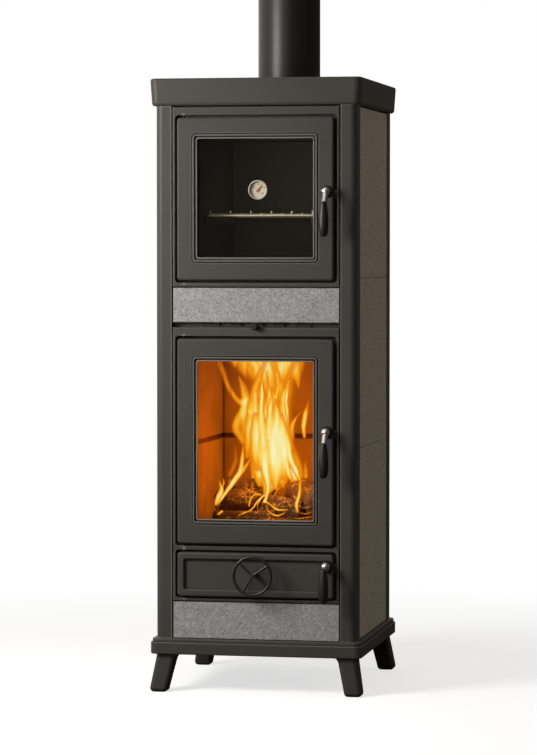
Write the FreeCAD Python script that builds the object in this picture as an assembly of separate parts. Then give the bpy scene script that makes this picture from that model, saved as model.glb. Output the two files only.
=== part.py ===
"""Tall wood stove of cast iron and soapstone, with a baking oven over its firebox.

Millimetres. x runs across the stove, y runs back from the front plane of the corner posts,
z runs up from the floor. Every piece is drawn in that way, and save() then moves it so that
the origin lies on the floor under the middle of the whole stove.
"""
import FreeCAD, Part
import math
import os

V = FreeCAD.Vector

# ---- Casing -----------------------------------------------------------------------------
body_width = 410.0
body_depth = 433.0
leg_height = 77.0
base_height = 32.0
base_overhang = 11.0
base_ledge_height = 8.0
base_ledge_inset = 3.0
base_edge_round = 3.0
top_height = 55.0
top_overhang = 10.7
top_overhang_below = 7.5
top_edge_round = 4.5
top_foot_round = 6.5
slab_corner = 15.0
slab_wall = 10.0
pad_margin = 6.5
pocket_gap = 1.0
joint_gap = 2.0
touch_gap = 0.3
fit_gap = 0.1
fuse_depth = 1.0

# ---- Corner posts -----------------------------------------------------------------------
post_face = 33.0
post_corner = 14.0
post_wall = 8.0
post_inner_round = 3.0
post_side_front = 39.0
post_side_rear = 45.0
post_web = 6.0
post_lip = 12.0
post_lip_thickness = 6.0
stone_grip = 10.0
panel_lip = 8.0
panel_lip_thickness = 4.0

# ---- Stones -----------------------------------------------------------------------------
stone_recess = 2.0
stone_chamfer = 1.2
side_stone_lower = 384.5
side_stone_middle = 340.0
lower_stone_height = 74.4
upper_stone_height = 69.2

# ---- Front frames, from the bottom up ---------------------------------------------------
frame_depth = 26.0
frame_flange = 6.0
frame_side_gap = 2.4
frame_side_rail = 5.4
ash_bottom_rail = 6.0
ash_door_height = 88.5
ash_door_gap = 4.0
cross_bar = 8.4
fire_door_height = 411.0
fire_top_rail = 17.5
slot_height = 10.4
oven_bottom_rail = 7.8
oven_door_height = 324.5
oven_top_rail = 16.6
door_gap = 5.2
frame_corner = 7.0
frame_edge_round = 1.8

# ---- Doors ------------------------------------------------------------------------------
door_proud = 9.0
door_plate = 7.0
door_rim_wall = 6.0
door_rim_depth = 8.0
door_corner = 6.0
door_edge_round = 4.0
inner_round = 0.5
window_stile = 41.0
oven_window_bottom = 45.5
oven_window_top = 42.0
fire_window_bottom = 49.5
fire_window_top = 44.5
window_corner = 3.0
window_edge_round = 1.0
bead_width = 9.0
bead_gap = 1.5
bead_proud = 11.0
bead_flange = 13.0
bead_flange_thickness = 2.0
bead_corner = 7.0
bead_round = 1.7
bead_ridge = 4.2
bead_groove_depth = 6.0
bead_lip = 2.4
bead_lip_drop = 3.0
bead_lip_round = 0.9
glass_thickness = 4.0
glass_gap = 1.0
clip_length = 16.0
clip_shares = (0.3, 0.7)
clip_sheet = 2.0
clip_toe = 10.0
clip_heel = 7.0

# ---- Rope seals -------------------------------------------------------------------------
rope_diameter = 8.0
rope_inset = 22.5
ash_rope_inset = 9.0
rope_wall_side = 1.5
rope_groove_gap = 0.2
rope_groove_depth = 2.5
rope_corner = 10.0
seal_land = 6.0
rope_land = 12.0

# ---- Hinges -----------------------------------------------------------------------------
hinge_inset = 12.0
hinge_depth = 4.0
pin_diameter = 5.0
pin_seat = 3.4
pin_reach = 12.0
lug_radius = 6.5
lug_height = 18.0
running_gap = 0.06

# ---- Door latches -----------------------------------------------------------------------
handle_inset = 13.0
oven_handle_rise = 176.2
fire_handle_rise = 227.0
ash_handle_rise = 65.6
spindle_diameter = 8.0
rose_radius = 12.0
rose_thickness = 4.0
boss_radius = 8.5
knuckle_radius = 9.5
knuckle_stem = 7.0
knuckle_centre = 22.0
neck_radius = 6.2
neck_tip_radius = 5.2
neck_sink = 6.0
grip_standoff = 38.0
grip_radius = 10.0
grip_top_radius = 6.8
grip_drop = 26.0
ash_grip_drop = 8.0
grip_length = 64.0
grip_belly_drop = 38.0
grip_tip_radius = 8.0
tongue_reach = 15.0
tongue_width = 7.0
tongue_thickness = 4.0
tongue_hub = 5.0
tongue_round = 2.0
keeper_depth = 4.2
keeper_height = 9.0
keeper_drop = 5.0
keeper_reach = 5.7
latch_gap = 0.4

# ---- Thermometer ------------------------------------------------------------------------
dial_x = 6.2
dial_rise = 180.2
case_radius = 19.5
case_depth = 9.0
case_wall = 1.2
case_back = 2.0
case_chamfer = 1.0
case_lip = 0.8
dial_thickness = 1.0
lens_thickness = 1.2
needle_length = 13.0
needle_tail = 5.0
needle_width = 1.6
needle_thickness = 0.5
needle_lift = 1.0
needle_hub_radius = 2.2
needle_turn = -38.0
case_stem_radius = 4.0
case_stem_length = 11.0
case_nut_radius = 7.0
case_nut_height = 4.0

# ---- Air wheel and register -------------------------------------------------------------
wheel_rise = 45.6
wheel_radius = 41.0
wheel_rim = 3.0
wheel_standoff = 26.0
wheel_hub_radius = 5.0
wheel_hub_gap = 2.0
wheel_hub_round = 1.5
wheel_hub_floor = 3.0
spoke_radius = 2.6
spoke_angles = (34.0, 135.0, 238.0)
ash_panel_margin = 14.0
ash_panel_bevel = 2.5
ash_panel_recess = 8.0
ash_panel_thickness = 5.0
ash_panel_corner = 4.0
ash_panel_backing = 3.0
liner_setback = 6.0
liner_thickness = 2.0
register_radius = 24.0
register_thickness = 2.0
register_spindle = 6.0
port_inner = 9.0
port_outer = 20.0
port_sweep = 56.0
port_count = 3
port_start = 90.0
inlet_slot_length = 26.0
inlet_slot_height = 3.0
inlet_slot_count = 4
inlet_slot_pitch = 36.0

# ---- Secondary air slide ----------------------------------------------------------------
slide_sheet = 2.0
slide_length = 220.0
slide_setback = 4.0
slide_groove = 4.0
slide_port_length = 22.0
slide_port_pitch = 44.0
slide_port_count = 4
slide_port_height = 6.0
slide_port_round = 1.0
knob_radius = 7.2
knob_length = 11.0
knob_stem_radius = 1.6
knob_gap = 4.0
knob_rise = 2.4
knob_front_chamfer = 2.6
knob_back_chamfer = 1.2

# ---- Oven -------------------------------------------------------------------------------
sheet = 3.0
muffle_inset = 5.5
muffle_corner = 8.0
muffle_flange_corner = 4.0
smoke_shaft = 80.0
muffle_flange = 2.5
muffle_flange_width = 28.0
rack_rise = 92.2
rack_side_gap = 7.0
rack_setback = 36.0
rack_back_gap = 14.0
rack_wire = 5.0
rack_rod = 3.2
rack_rod_count = 11
rack_rod_overhang = 4.0
rack_rod_sink = 0.8
rack_corner = 7.0
rack_hook_rise = 6.0
rack_hook_bend = 3.0
rack_hook_step = 2
runner_width = 13.0
runner_height = 15.0
runner_sheet = 2.0
runner_inset = 10.0

# ---- Smoke jacket and firebox -----------------------------------------------------------
jacket_setback = 9.0
firebox_setback = 82.0
shell_hole_round = 2.0
hearth_rise = 24.5
hearth_thickness = 10.0
ledge_width = 16.0
ledge_thickness = 4.0
lining_thickness = 20.0
lining_gap = 0.5
lower_brick_height = 174.0
upper_brick_height = 190.0
lining_seam = 4.0
lining_edge = 3.0
baffle_thickness = 24.0
baffle_throat = 84.0
baffle_chamfer = 6.0
grate_width = 190.0
grate_depth = 170.0
grate_thickness = 12.0
grate_rebate = 5.0
grate_slot = 9.0
grate_slot_pitch = 19.0
grate_slot_count = 9
grate_rim = 14.0
grate_rib_width = 10.0
grate_corner = 5.0

# ---- Ash pan ----------------------------------------------------------------------------
pan_side_gap = 6.5
pan_setback = 36.0
pan_back_gap = 51.0
pan_top_gap = 8.5
pan_sheet = 1.6
pan_corner = 6.0
pan_grip_width = 70.0
pan_grip_reach = 12.0

# ---- Flue -------------------------------------------------------------------------------
flue_diameter = 130.0
flue_wall = 2.0
flue_setback = 65.0
flue_length = 250.0
flue_socket_length = 55.0
flue_socket_gap = 0.2
collar_wall = 2.7
collar_flange_width = 11.0
collar_flange = 8.0
collar_chamfer = 2.0
spigot_chamfer = 1.0
collar_spigot = 40.0
collar_gap = 0.3

# ---- Back panel, rods and legs ----------------------------------------------------------
panel_sheet = 2.0
vent_length = 46.0
vent_height = 6.0
vent_side_margin = 23.4
vent_pitch_z = 16.0
vent_columns = 5
vent_rows = 2
vent_margin = 60.0
rod_radius = 4.0
rod_gap = 0.2
rod_seat = 20.0
leg_top = 40.0
leg_foot = 36.0
leg_inset = 0.5
leg_splay = 13.5
leg_flare = 10.0
leg_flare_height = 12.0
leg_flare_steps = 5
leg_corner = 9.0
foot_round = 8.0
foot_round_steps = 4

# ---- Levels and faces worked out from the sizes above -----------------------------------
base_top = leg_height + base_height
lower_stone_top = base_top + lower_stone_height
fire_frame_z0 = lower_stone_top + joint_gap
ash_open_z0 = fire_frame_z0 + ash_bottom_rail
ash_door_z0 = ash_open_z0 + ash_door_gap
ash_door_z1 = ash_door_z0 + ash_door_height
ash_open_z1 = ash_door_z1 + ash_door_gap
fire_open_z0 = ash_open_z1 + cross_bar
fire_door_z0 = fire_open_z0 + door_gap
fire_door_z1 = fire_door_z0 + fire_door_height
fire_open_z1 = fire_door_z1 + door_gap
fire_frame_z1 = fire_open_z1 + fire_top_rail
upper_stone_z0 = fire_frame_z1 + slot_height
upper_stone_z1 = upper_stone_z0 + upper_stone_height
oven_frame_z0 = upper_stone_z1 + joint_gap
oven_open_z0 = oven_frame_z0 + oven_bottom_rail
oven_door_z0 = oven_open_z0 + door_gap
oven_door_z1 = oven_door_z0 + oven_door_height
oven_open_z1 = oven_door_z1 + door_gap
oven_frame_z1 = oven_open_z1 + oven_top_rail
top_z0 = oven_frame_z1 + joint_gap
top_z1 = top_z0 + top_height

half_width = body_width / 2
post_inner = half_width - post_face
web_outer = post_inner + post_web
frame_half = post_inner - frame_side_gap
open_half = frame_half - frame_side_rail
door_half = open_half - door_gap
seal_half = door_half - rope_inset - rope_land
recess_back = frame_depth - frame_flange
plate_back = door_plate - door_proud
rim_back = plate_back + door_rim_depth
rope_radius = rope_diameter / 2
rope_y = recess_back - touch_gap - rope_radius
rope_wall_back = rope_y - rope_radius + rope_groove_depth
rope_wall = rope_radius + rope_groove_gap + rope_wall_side
window_half = door_half - window_stile
hinge_x = hinge_inset - door_half
handle_x = door_half - handle_inset
oven_handle_z = oven_door_z0 + oven_handle_rise
fire_handle_z = fire_door_z0 + fire_handle_rise
ash_handle_z = ash_door_z0 + ash_handle_rise
dial_z = oven_door_z0 + dial_rise
wheel_z = ash_door_z0 + wheel_rise
rose_front = -(door_proud + rose_thickness)
tongue_front = rope_wall_back + latch_gap
keeper_front = rope_wall_back - keeper_depth
grip_y = -(door_proud + grip_standoff)
handle_reach = door_proud + grip_standoff + grip_radius
middle_depth = (body_depth + base_overhang - handle_reach) / 2
stone_outer = half_width - stone_recess
glass_front = plate_back + bead_flange_thickness
glass_back = glass_front + glass_thickness
ash_panel_front = ash_panel_recess - door_proud
ash_panel_back = ash_panel_front + ash_panel_thickness
liner_front = ash_panel_back + liner_setback
wheel_rim_y = -door_proud - wheel_standoff
wheel_hub_front = wheel_rim_y - spoke_radius
wheel_hub_back = ash_panel_front - wheel_hub_gap
muffle_face = frame_depth + muffle_flange
jacket_back = body_depth - jacket_setback
oven_back = jacket_back - smoke_shaft
oven_half_width = seal_half - muffle_inset
oven_floor_z = oven_door_z0 + rope_inset + rope_land + sheet
oven_roof_z = oven_door_z1 - rope_inset - rope_land - sheet
rack_z = oven_floor_z + rack_rise
rack_half_width = oven_half_width - rack_side_gap
rack_front = frame_depth + rack_setback
rack_back = oven_back - rack_back_gap
ash_floor_z = ash_door_z0 + ash_rope_inset + seal_land
ash_roof_z = ash_door_z1 - ash_rope_inset - seal_land
pan_half_width = seal_half - pan_side_gap
pan_front = frame_depth + pan_setback
pan_height = ash_roof_z - ash_floor_z - pan_top_gap
slide_y = recess_back - slide_setback
slide_z0 = fire_frame_z1 - slide_groove + touch_gap
knob_z = fire_frame_z1 + knob_rise
rod_x = (web_outer + half_width - post_wall) / 2
rod_front_y = (post_wall + post_side_front) / 2
rod_rear_y = body_depth - (post_wall + post_side_rear) / 2
shell_half_width = post_inner - post_lip - lining_gap
shell_inner = shell_half_width - sheet
firebox_back = body_depth - firebox_setback
chamber_half_width = shell_inner - lining_gap - lining_thickness
chamber_back = firebox_back - sheet - 2 * lining_gap - lining_thickness
hearth_z = fire_door_z0 + hearth_rise
lining_seam_z = hearth_z + lower_brick_height
lining_top_z = lining_seam_z + upper_brick_height
baffle_front = frame_depth + baffle_throat
grate_front = (frame_depth + sheet + chamber_back - grate_depth) / 2
pan_back = firebox_back - pan_back_gap
flue_y = jacket_back - flue_setback
spigot_radius = flue_diameter / 2 - flue_wall - collar_gap
collar_bore_radius = spigot_radius - collar_wall
skirt_pad = leg_inset + leg_top + leg_flare + pad_margin
vent_pitch_x = (2 * (frame_half - vent_side_margin) - vent_length) / (vent_columns - 1)


# ---- Drawing helpers --------------------------------------------------------------------
def front_plane(y):
    """Plane parallel to the stove's front, where an outline is given as (x, z)."""
    return lambda a, b: V(a, y, b)


def level_plane(z):
    """Horizontal plane, where an outline is given as (x, y)."""
    return lambda a, b: V(a, b, z)


def rounded_wire(corners, plane):
    """Closed outline through corners (a, b, radius), each rounded by its own radius."""
    edges = []
    count = len(corners)
    starts = []
    ends = []
    for i in range(count):
        here = V(corners[i][0], corners[i][1], 0)
        before = V(corners[i - 1][0], corners[i - 1][1], 0)
        after = V(corners[(i + 1) % count][0], corners[(i + 1) % count][1], 0)
        radius = corners[i][2]
        to_before = (before - here).normalize()
        to_after = (after - here).normalize()
        half_angle = to_before.getAngle(to_after) / 2
        reach = radius / math.tan(half_angle)
        start = here + to_before * reach
        end = here + to_after * reach
        if radius > 0:
            inward = (to_before + to_after).normalize()
            middle = here + inward * (radius / math.sin(half_angle) - radius)
            points = [plane(p.x, p.y) for p in (start, middle, end)]
            edges.append((i, Part.Arc(*points).toShape()))
        starts.append(start)
        ends.append(end)
    for i in range(count):
        a = ends[i]
        b = starts[(i + 1) % count]
        if (b - a).Length > 1e-6:
            edges.append((i + 0.5, Part.makeLine(plane(a.x, a.y), plane(b.x, b.y))))
    ordered = [edge for _, edge in sorted(edges, key=lambda item: item[0])]
    return Part.Wire(ordered)


def rectangle(a0, a1, b0, b1, radius):
    """Corners of a rectangle, all rounded alike."""
    return [(a0, b0, radius), (a1, b0, radius), (a1, b1, radius), (a0, b1, radius)]


def front_slab(x0, x1, z0, z1, y0, y1, radius=0.0):
    """Block seen from the front as a rectangle with rounded corners."""
    face = Part.Face(rounded_wire(rectangle(x0, x1, z0, z1, radius), front_plane(y0)))
    return face.extrude(V(0, y1 - y0, 0))


def level_slab(x0, x1, y0, y1, z0, z1, radius=0.0):
    """Block seen from above as a rectangle with rounded corners."""
    face = Part.Face(rounded_wire(rectangle(x0, x1, y0, y1, radius), level_plane(z0)))
    return face.extrude(V(0, 0, z1 - z0))


def front_disc(x, z, radius, y0, y1):
    """Cylinder whose axis runs front to back."""
    return Part.makeCylinder(radius, y1 - y0, V(x, y0, z), V(0, 1, 0))


def upright(x, y, radius, z0, z1):
    """Cylinder whose axis stands up."""
    return Part.makeCylinder(radius, z1 - z0, V(x, y, z0), V(0, 0, 1))


def joined(shapes):
    """One solid from shapes that touch or overlap."""
    result = shapes[0].fuse(list(shapes[1:]))
    return result.removeSplitter()


def group(solids):
    """Separate solids kept together in one node."""
    return Part.makeCompound(solids)


def mirrored(shape):
    """The same piece on the other side of the stove."""
    return shape.mirror(V(0, 0, 0), V(1, 0, 0))


def rounded_edges(shape, radius, wanted):
    """Shape with the edges that wanted() picks by their bounding box rounded."""
    edges = [edge for edge in shape.Edges if wanted(edge.BoundBox)]
    return shape.makeFillet(radius, edges)


def chamfered_edges(shape, size, wanted):
    """Shape with the edges that wanted() picks by their bounding box chamfered."""
    edges = [edge for edge in shape.Edges if wanted(edge.BoundBox)]
    return shape.makeChamfer(size, edges)


def at_y(y):
    """Test for edges that lie wholly in the front plane at y."""
    return lambda box: abs(box.YMin - y) < 1e-4 and abs(box.YMax - y) < 1e-4


def at_z(z):
    """Test for edges that lie wholly at height z."""
    return lambda box: abs(box.ZMin - z) < 1e-4 and abs(box.ZMax - z) < 1e-4


def at_x(x):
    """Test for edges that lie wholly in the side plane at x."""
    return lambda box: abs(box.XMin - x) < 1e-4 and abs(box.XMax - x) < 1e-4


def upright_at(half, y):
    """Test for upright edges at plus or minus half and depth y."""
    return lambda box: at_y(y)(box) and abs(box.XMax - box.XMin) < 1e-4 and abs(abs(box.XMin) - half) < 1e-4


def turned(points, axis_origin, axis):
    """Solid turned from a closed outline of points."""
    face = Part.Face(Part.makePolygon(points + [points[0]]))
    return face.revolve(axis_origin, axis, 360)


def sector(x, z, inner, outer, start, sweep, y0, y1):
    """Port shaped as a piece of a ring, angles in degrees from +x towards +z."""
    def point(radius, angle):
        turn = math.radians(angle)
        return V(x + radius * math.cos(turn), y0, z + radius * math.sin(turn))
    middle = start + sweep / 2
    end = start + sweep
    edges = [
        Part.Arc(point(outer, start), point(outer, middle), point(outer, end)).toShape(),
        Part.makeLine(point(outer, end), point(inner, end)),
        Part.Arc(point(inner, end), point(inner, middle), point(inner, start)).toShape(),
        Part.makeLine(point(inner, start), point(outer, start)),
    ]
    return Part.Face(Part.Wire(edges)).extrude(V(0, y1 - y0, 0))


def bent_bar(path, radius):
    """Bar of round section bent along a path."""
    first = path.Edges[0]
    start = first.FirstParameter
    section = Part.Wire(Part.makeCircle(radius, first.valueAt(start), first.tangentAt(start)))
    return path.makePipeShell([section], True, False)


def save(name, shape):
    """Write one node, moved so that the origin is under the middle of the stove."""
    placed = shape.copy()
    placed.translate(V(0, -middle_depth, 0))
    placed.exportStep("parts/" + name + ".step")


# ---- Legs, base and top -----------------------------------------------------------------
def leg():
    """Front left leg: a splayed, tapered casting that flares out under the base."""
    outer = -half_width + leg_inset
    front = leg_inset

    def section(z, size, shift, flare):
        x0 = outer - shift
        y0 = front - shift
        corners = rectangle(x0, x0 + size + flare, y0, y0 + size + flare, leg_corner)
        return rounded_wire(corners, level_plane(z))

    def taper(z):
        share = 1 - z / leg_height
        return leg_top + (leg_foot - leg_top) * share, leg_splay * share

    size, shift = taper(foot_round)
    shank = [section(foot_round, size, shift, 0.0)]
    foot = []
    for step in range(foot_round_steps + 1):
        angle = math.radians(90 * step / foot_round_steps)
        inset = foot_round * (1 - math.cos(angle))
        corners = rectangle(outer - shift + inset, outer - shift + size - inset,
                            front - shift + inset, front - shift + size - inset,
                            leg_corner - inset)
        foot.append(rounded_wire(corners, level_plane(foot_round * (1 - math.sin(angle)))))
    for step in range(leg_flare_steps + 1):
        share = step / leg_flare_steps
        z = leg_height - leg_flare_height * (1 - share)
        size, shift = taper(z)
        shank.append(section(z, size, shift, leg_flare * (1 - math.sqrt(1 - share ** 2))))
    hole = upright(-rod_x, rod_front_y, rod_radius + rod_gap, leg_height - rod_seat, leg_height)
    return joined([Part.makeLoft(shank, True, True), Part.makeLoft(foot, True, True)]).cut(hole)


def rear_leg(front_leg):
    """A leg turned end for end, for the back of the stove."""
    flipped = front_leg.mirror(V(0, 0, 0), V(0, 1, 0))
    flipped.translate(V(0, body_depth, 0))
    shift = rod_rear_y - (body_depth - rod_front_y)
    flipped.translate(V(0, shift, 0))
    return flipped


def base_plate():
    """Cast base with a skirt, open below, with solid pads over the legs."""
    def outline(overhang, z0, z1):
        return level_slab(-half_width - overhang, half_width + overhang,
                          -overhang, body_depth + overhang, z0, z1, slab_corner)
    ledge_z = base_top - base_ledge_height
    skirt = outline(base_overhang, leg_height, ledge_z)
    skirt = rounded_edges(skirt, base_edge_round, at_z(leg_height))
    ledge = outline(base_overhang - base_ledge_inset, ledge_z, base_top)
    ledge = rounded_edges(ledge, base_ledge_inset, at_z(base_top))
    pocket = level_slab(-half_width + slab_wall, half_width - slab_wall,
                        slab_wall, body_depth - slab_wall, leg_height, base_top - slab_wall)
    for x_side in (-1, 1):
        for y0 in (0.0, body_depth - skirt_pad):
            x0 = min(x_side * half_width, x_side * (half_width - skirt_pad))
            pocket = pocket.cut(Part.makeBox(skirt_pad, skirt_pad, base_height, V(x0, y0, leg_height)))
    plate = joined([skirt, ledge]).cut(pocket)
    for hole in rod_cylinders(rod_radius + rod_gap, leg_height, base_top):
        plate = plate.cut(hole)
    return plate


def top_plate():
    """Cast top with sides that lean out, a pocket for the smoke below and the flue hole."""
    def outline(overhang, z):
        corners = rectangle(-half_width - overhang, half_width + overhang,
                            -overhang, body_depth + overhang, slab_corner)
        return rounded_wire(corners, level_plane(z))
    slab = Part.makeLoft([outline(top_overhang_below, top_z0), outline(top_overhang, top_z1)], True, True)
    slab = rounded_edges(slab, top_edge_round, at_z(top_z1))
    slab = rounded_edges(slab, top_foot_round, at_z(top_z0))
    pocket = level_slab(-shell_half_width - pocket_gap, shell_half_width + pocket_gap,
                        muffle_face - pocket_gap, jacket_back + pocket_gap, top_z0, top_z1 - slab_wall)
    plate = slab.cut(pocket)
    plate = plate.cut(upright(0, flue_y, collar_bore_radius, top_z0, top_z1))
    for hole in rod_cylinders(rod_radius + rod_gap, top_z0, top_z0 + rod_seat):
        plate = plate.cut(hole)
    return plate


def rod_cylinders(radius, z0, z1):
    """The four rods, or the holes for them, inside the corner posts."""
    return [upright(x, y, radius, z0, z1)
            for x in (-rod_x, rod_x) for y in (rod_front_y, rod_rear_y)]


def tie_rods():
    """Rods that clamp the top, posts and base together and hold the legs."""
    return group(rod_cylinders(rod_radius, leg_height - rod_seat, top_z0 + rod_seat))


# ---- Posts and stones -------------------------------------------------------------------
def front_post():
    """Left front post: a rounded channel with a lip for the frames and a web for the stone."""
    lip_y = frame_depth
    corners = [
        (-post_inner, 0.0, 0.0),
        (-half_width, 0.0, post_corner),
        (-half_width, post_side_front, 0.0),
        (-half_width + post_wall, post_side_front, 0.0),
        (-half_width + post_wall, post_wall, post_inner_round),
        (-web_outer, post_wall, post_inner_round),
        (-web_outer, post_side_front + stone_grip, 0.0),
        (-post_inner, post_side_front + stone_grip, 0.0),
        (-post_inner, lip_y + post_lip_thickness, 0.0),
        (-post_inner + post_lip, lip_y + post_lip_thickness, 0.0),
        (-post_inner + post_lip, lip_y, 0.0),
        (-post_inner, lip_y, 0.0),
    ]
    face = Part.Face(rounded_wire(corners, level_plane(base_top)))
    return face.extrude(V(0, 0, top_z0 - base_top))


def rear_post():
    """Left rear post, with a shallow lip for the back panel."""
    back = body_depth
    lip_y = back - panel_lip_thickness
    corners = [
        (-post_inner, back, 0.0),
        (-half_width, back, post_corner),
        (-half_width, back - post_side_rear, 0.0),
        (-half_width + post_wall, back - post_side_rear, 0.0),
        (-half_width + post_wall, back - post_wall, post_inner_round),
        (-web_outer, back - post_wall, post_inner_round),
        (-web_outer, back - post_side_rear - stone_grip, 0.0),
        (-post_inner, back - post_side_rear - stone_grip, 0.0),
        (-post_inner, lip_y - panel_lip_thickness, 0.0),
        (-post_inner + panel_lip, lip_y - panel_lip_thickness, 0.0),
        (-post_inner + panel_lip, lip_y, 0.0),
        (-post_inner, lip_y, 0.0),
    ]
    face = Part.Face(rounded_wire(corners, level_plane(base_top)))
    return face.extrude(V(0, 0, top_z0 - base_top))


def side_stones():
    """The three stones of the left side, stacked between the posts."""
    seams = [base_top, base_top + side_stone_lower,
             base_top + side_stone_lower + side_stone_middle, top_z0 - joint_gap]
    stones = []
    for z0, z1 in zip(seams, seams[1:]):
        stone = Part.makeBox(stone_outer - web_outer, body_depth - post_side_rear - post_side_front,
                             z1 - z0, V(-stone_outer, post_side_front, z0))
        stones.append(chamfered_edges(stone, stone_chamfer, at_x(-stone_outer)))
    return group(stones)


def front_stone(z0, z1):
    """Stone strip across the front, seated against the lips of the front posts."""
    stone = Part.makeBox(2 * frame_half, frame_depth - stone_recess, z1 - z0,
                         V(-frame_half, stone_recess, z0))
    return chamfered_edges(stone, stone_chamfer, at_y(stone_recess))


def back_panel():
    """Sheet steel back with rows of vents at the top and bottom."""
    y1 = body_depth - panel_lip_thickness + panel_sheet
    panel = Part.makeBox(2 * frame_half, panel_sheet, top_z0 - base_top - 2 * joint_gap,
                         V(-frame_half, y1 - panel_sheet, base_top + joint_gap))
    vents = []
    first_rows = (base_top + vent_margin, top_z0 - vent_margin - vent_pitch_z * (vent_rows - 1))
    for first in first_rows:
        for row in range(vent_rows):
            for column in range(vent_columns):
                x = (column - (vent_columns - 1) / 2) * vent_pitch_x
                z = first + row * vent_pitch_z
                vents.append(front_slab(x - vent_length / 2, x + vent_length / 2,
                                        z - vent_height / 2, z + vent_height / 2,
                                        y1 - panel_sheet, y1, vent_height / 2))
    return panel.cut(vents)


# ---- Front frames -----------------------------------------------------------------------
def door_recess(z0, z1, gap, z_inset):
    """What is taken from a frame for a door: the recess and the hole inside the seal."""
    recess = front_slab(-open_half, open_half, z0 - gap, z1 + gap, 0.0, recess_back, frame_corner)
    hole = front_slab(-seal_half, seal_half, z0 + z_inset, z1 - z_inset, recess_back, frame_depth,
                      window_corner)
    return [recess, hole]


def keeper(handle_z):
    """Lug on the frame's inner side wall, which the latch tongue goes behind."""
    z1 = handle_z - keeper_drop
    return Part.makeBox(keeper_reach + fuse_depth, keeper_depth, keeper_height,
                        V(open_half - keeper_reach, keeper_front, z1 - keeper_height))


def pin_spans(z0, z1, gap):
    """Lower and upper ends of the two hinge pins of a door."""
    return [(z0 - gap - pin_seat, z0 + pin_reach), (z1 - pin_reach, z1 + gap + pin_seat)]


def front_frame(z0, z1, doors):
    """Cast frame with a recess for each door in it; doors are (z0, z1, gap, inset, handle)."""
    frame = front_slab(-frame_half, frame_half, z0, z1, 0.0, frame_depth)
    keepers = []
    for low, high, gap, inset, handle_z in doors:
        frame = frame.cut(door_recess(low, high, gap, inset))
        keepers.append(keeper(handle_z))
    frame = rounded_edges(frame, frame_edge_round, at_y(0.0))
    frame = joined([frame] + keepers)
    for low, high, gap, inset, handle_z in doors:
        for start, end in pin_spans(low, high, gap):
            frame = frame.cut(upright(hinge_x, hinge_depth, pin_diameter / 2, start, end))
    return frame


def oven_front_frame():
    """Frame of the oven door."""
    inset = rope_inset + rope_land
    return front_frame(oven_frame_z0, oven_frame_z1,
                       [(oven_door_z0, oven_door_z1, door_gap, inset, oven_handle_z)])


def fire_front_frame():
    """Frame of the fire and ash doors, with the air duct that carries the upper stone."""
    doors = [(fire_door_z0, fire_door_z1, door_gap, rope_inset + rope_land, fire_handle_z),
             (ash_door_z0, ash_door_z1, ash_door_gap, ash_rope_inset + seal_land, ash_handle_z)]
    frame = front_frame(fire_frame_z0, fire_frame_z1, doors)
    duct = front_slab(-frame_half, frame_half, fire_frame_z1 - frame_flange, upper_stone_z0,
                      recess_back, frame_depth)
    frame = joined([frame, duct]).cut(slide_ports(recess_back, frame_depth))
    half_groove = slide_length / 2 + slide_port_pitch
    groove = Part.makeBox(2 * half_groove, slide_sheet + 2 * touch_gap, slide_groove,
                          V(-half_groove, slide_y - touch_gap, fire_frame_z1 - slide_groove))
    return frame.cut(groove)


def slide_ports(y0, y1):
    """Air ports that the slide and the duct behind it share."""
    z = fire_frame_z1 + slot_height / 2
    ports = []
    for i in range(slide_port_count):
        x = (i - (slide_port_count - 1) / 2) * slide_port_pitch
        ports.append(front_slab(x - slide_port_length / 2, x + slide_port_length / 2,
                                z - slide_port_height / 2, z + slide_port_height / 2, y0, y1,
                                slide_port_round))
    return ports


def hinge_pins():
    """Two pins for each door, held in the frames."""
    pins = []
    for low, high, gap in ((oven_door_z0, oven_door_z1, door_gap),
                           (fire_door_z0, fire_door_z1, door_gap),
                           (ash_door_z0, ash_door_z1, ash_door_gap)):
        for start, end in pin_spans(low, high, gap):
            pins.append(upright(hinge_x, hinge_depth, pin_diameter / 2, start, end))
    return group(pins)


# ---- Doors ------------------------------------------------------------------------------
def ring(half, z0, z1, width, y0, y1, radius):
    """Upright rectangular ring whose outer edge is at half, z0 and z1."""
    outer = front_slab(-half, half, z0, z1, y0, y1, radius)
    inner_radius = max(radius - width, inner_round)
    inner = front_slab(-half + width, half - width, z0 + width, z1 - width, y0, y1, inner_radius)
    return outer.cut(inner)


def rope_groove(z0, z1, z_inset):
    """Groove for the rope in the back of a door."""
    half = door_half - rope_inset + rope_radius + rope_groove_gap
    grow = rope_radius + rope_groove_gap
    return ring(half, z0 + z_inset - grow, z1 - z_inset + grow, 2 * grow,
                rope_wall_back - rope_groove_depth, rope_wall_back, rope_corner + grow)


def rope_seal(z0, z1, z_inset):
    """Rope seal of a door: one closed ring of round section."""
    half = door_half - rope_inset
    path = rounded_wire(rectangle(-half, half, z0 + z_inset, z1 - z_inset, rope_corner),
                        front_plane(rope_y))
    return bent_bar(path, rope_radius)


def hinge_lugs(z0, z1):
    """Lugs at the ends of a door's hinge side."""
    lugs = []
    for low in (z0, z1 - lug_height):
        lugs.append(upright(hinge_x, hinge_depth, lug_radius, low, low + lug_height))
        lugs.append(Part.makeBox(2 * lug_radius, hinge_depth - plate_back + fuse_depth, lug_height,
                                 V(hinge_x - lug_radius, plate_back - fuse_depth, low)))
    return lugs


def pin_holes(z0, z1):
    """Blind holes for the hinge pins, with running clearance."""
    radius = pin_diameter / 2 + running_gap
    depth = pin_reach + touch_gap
    return [upright(hinge_x, hinge_depth, radius, z0, z0 + depth),
            upright(hinge_x, hinge_depth, radius, z1 - depth, z1)]


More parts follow.
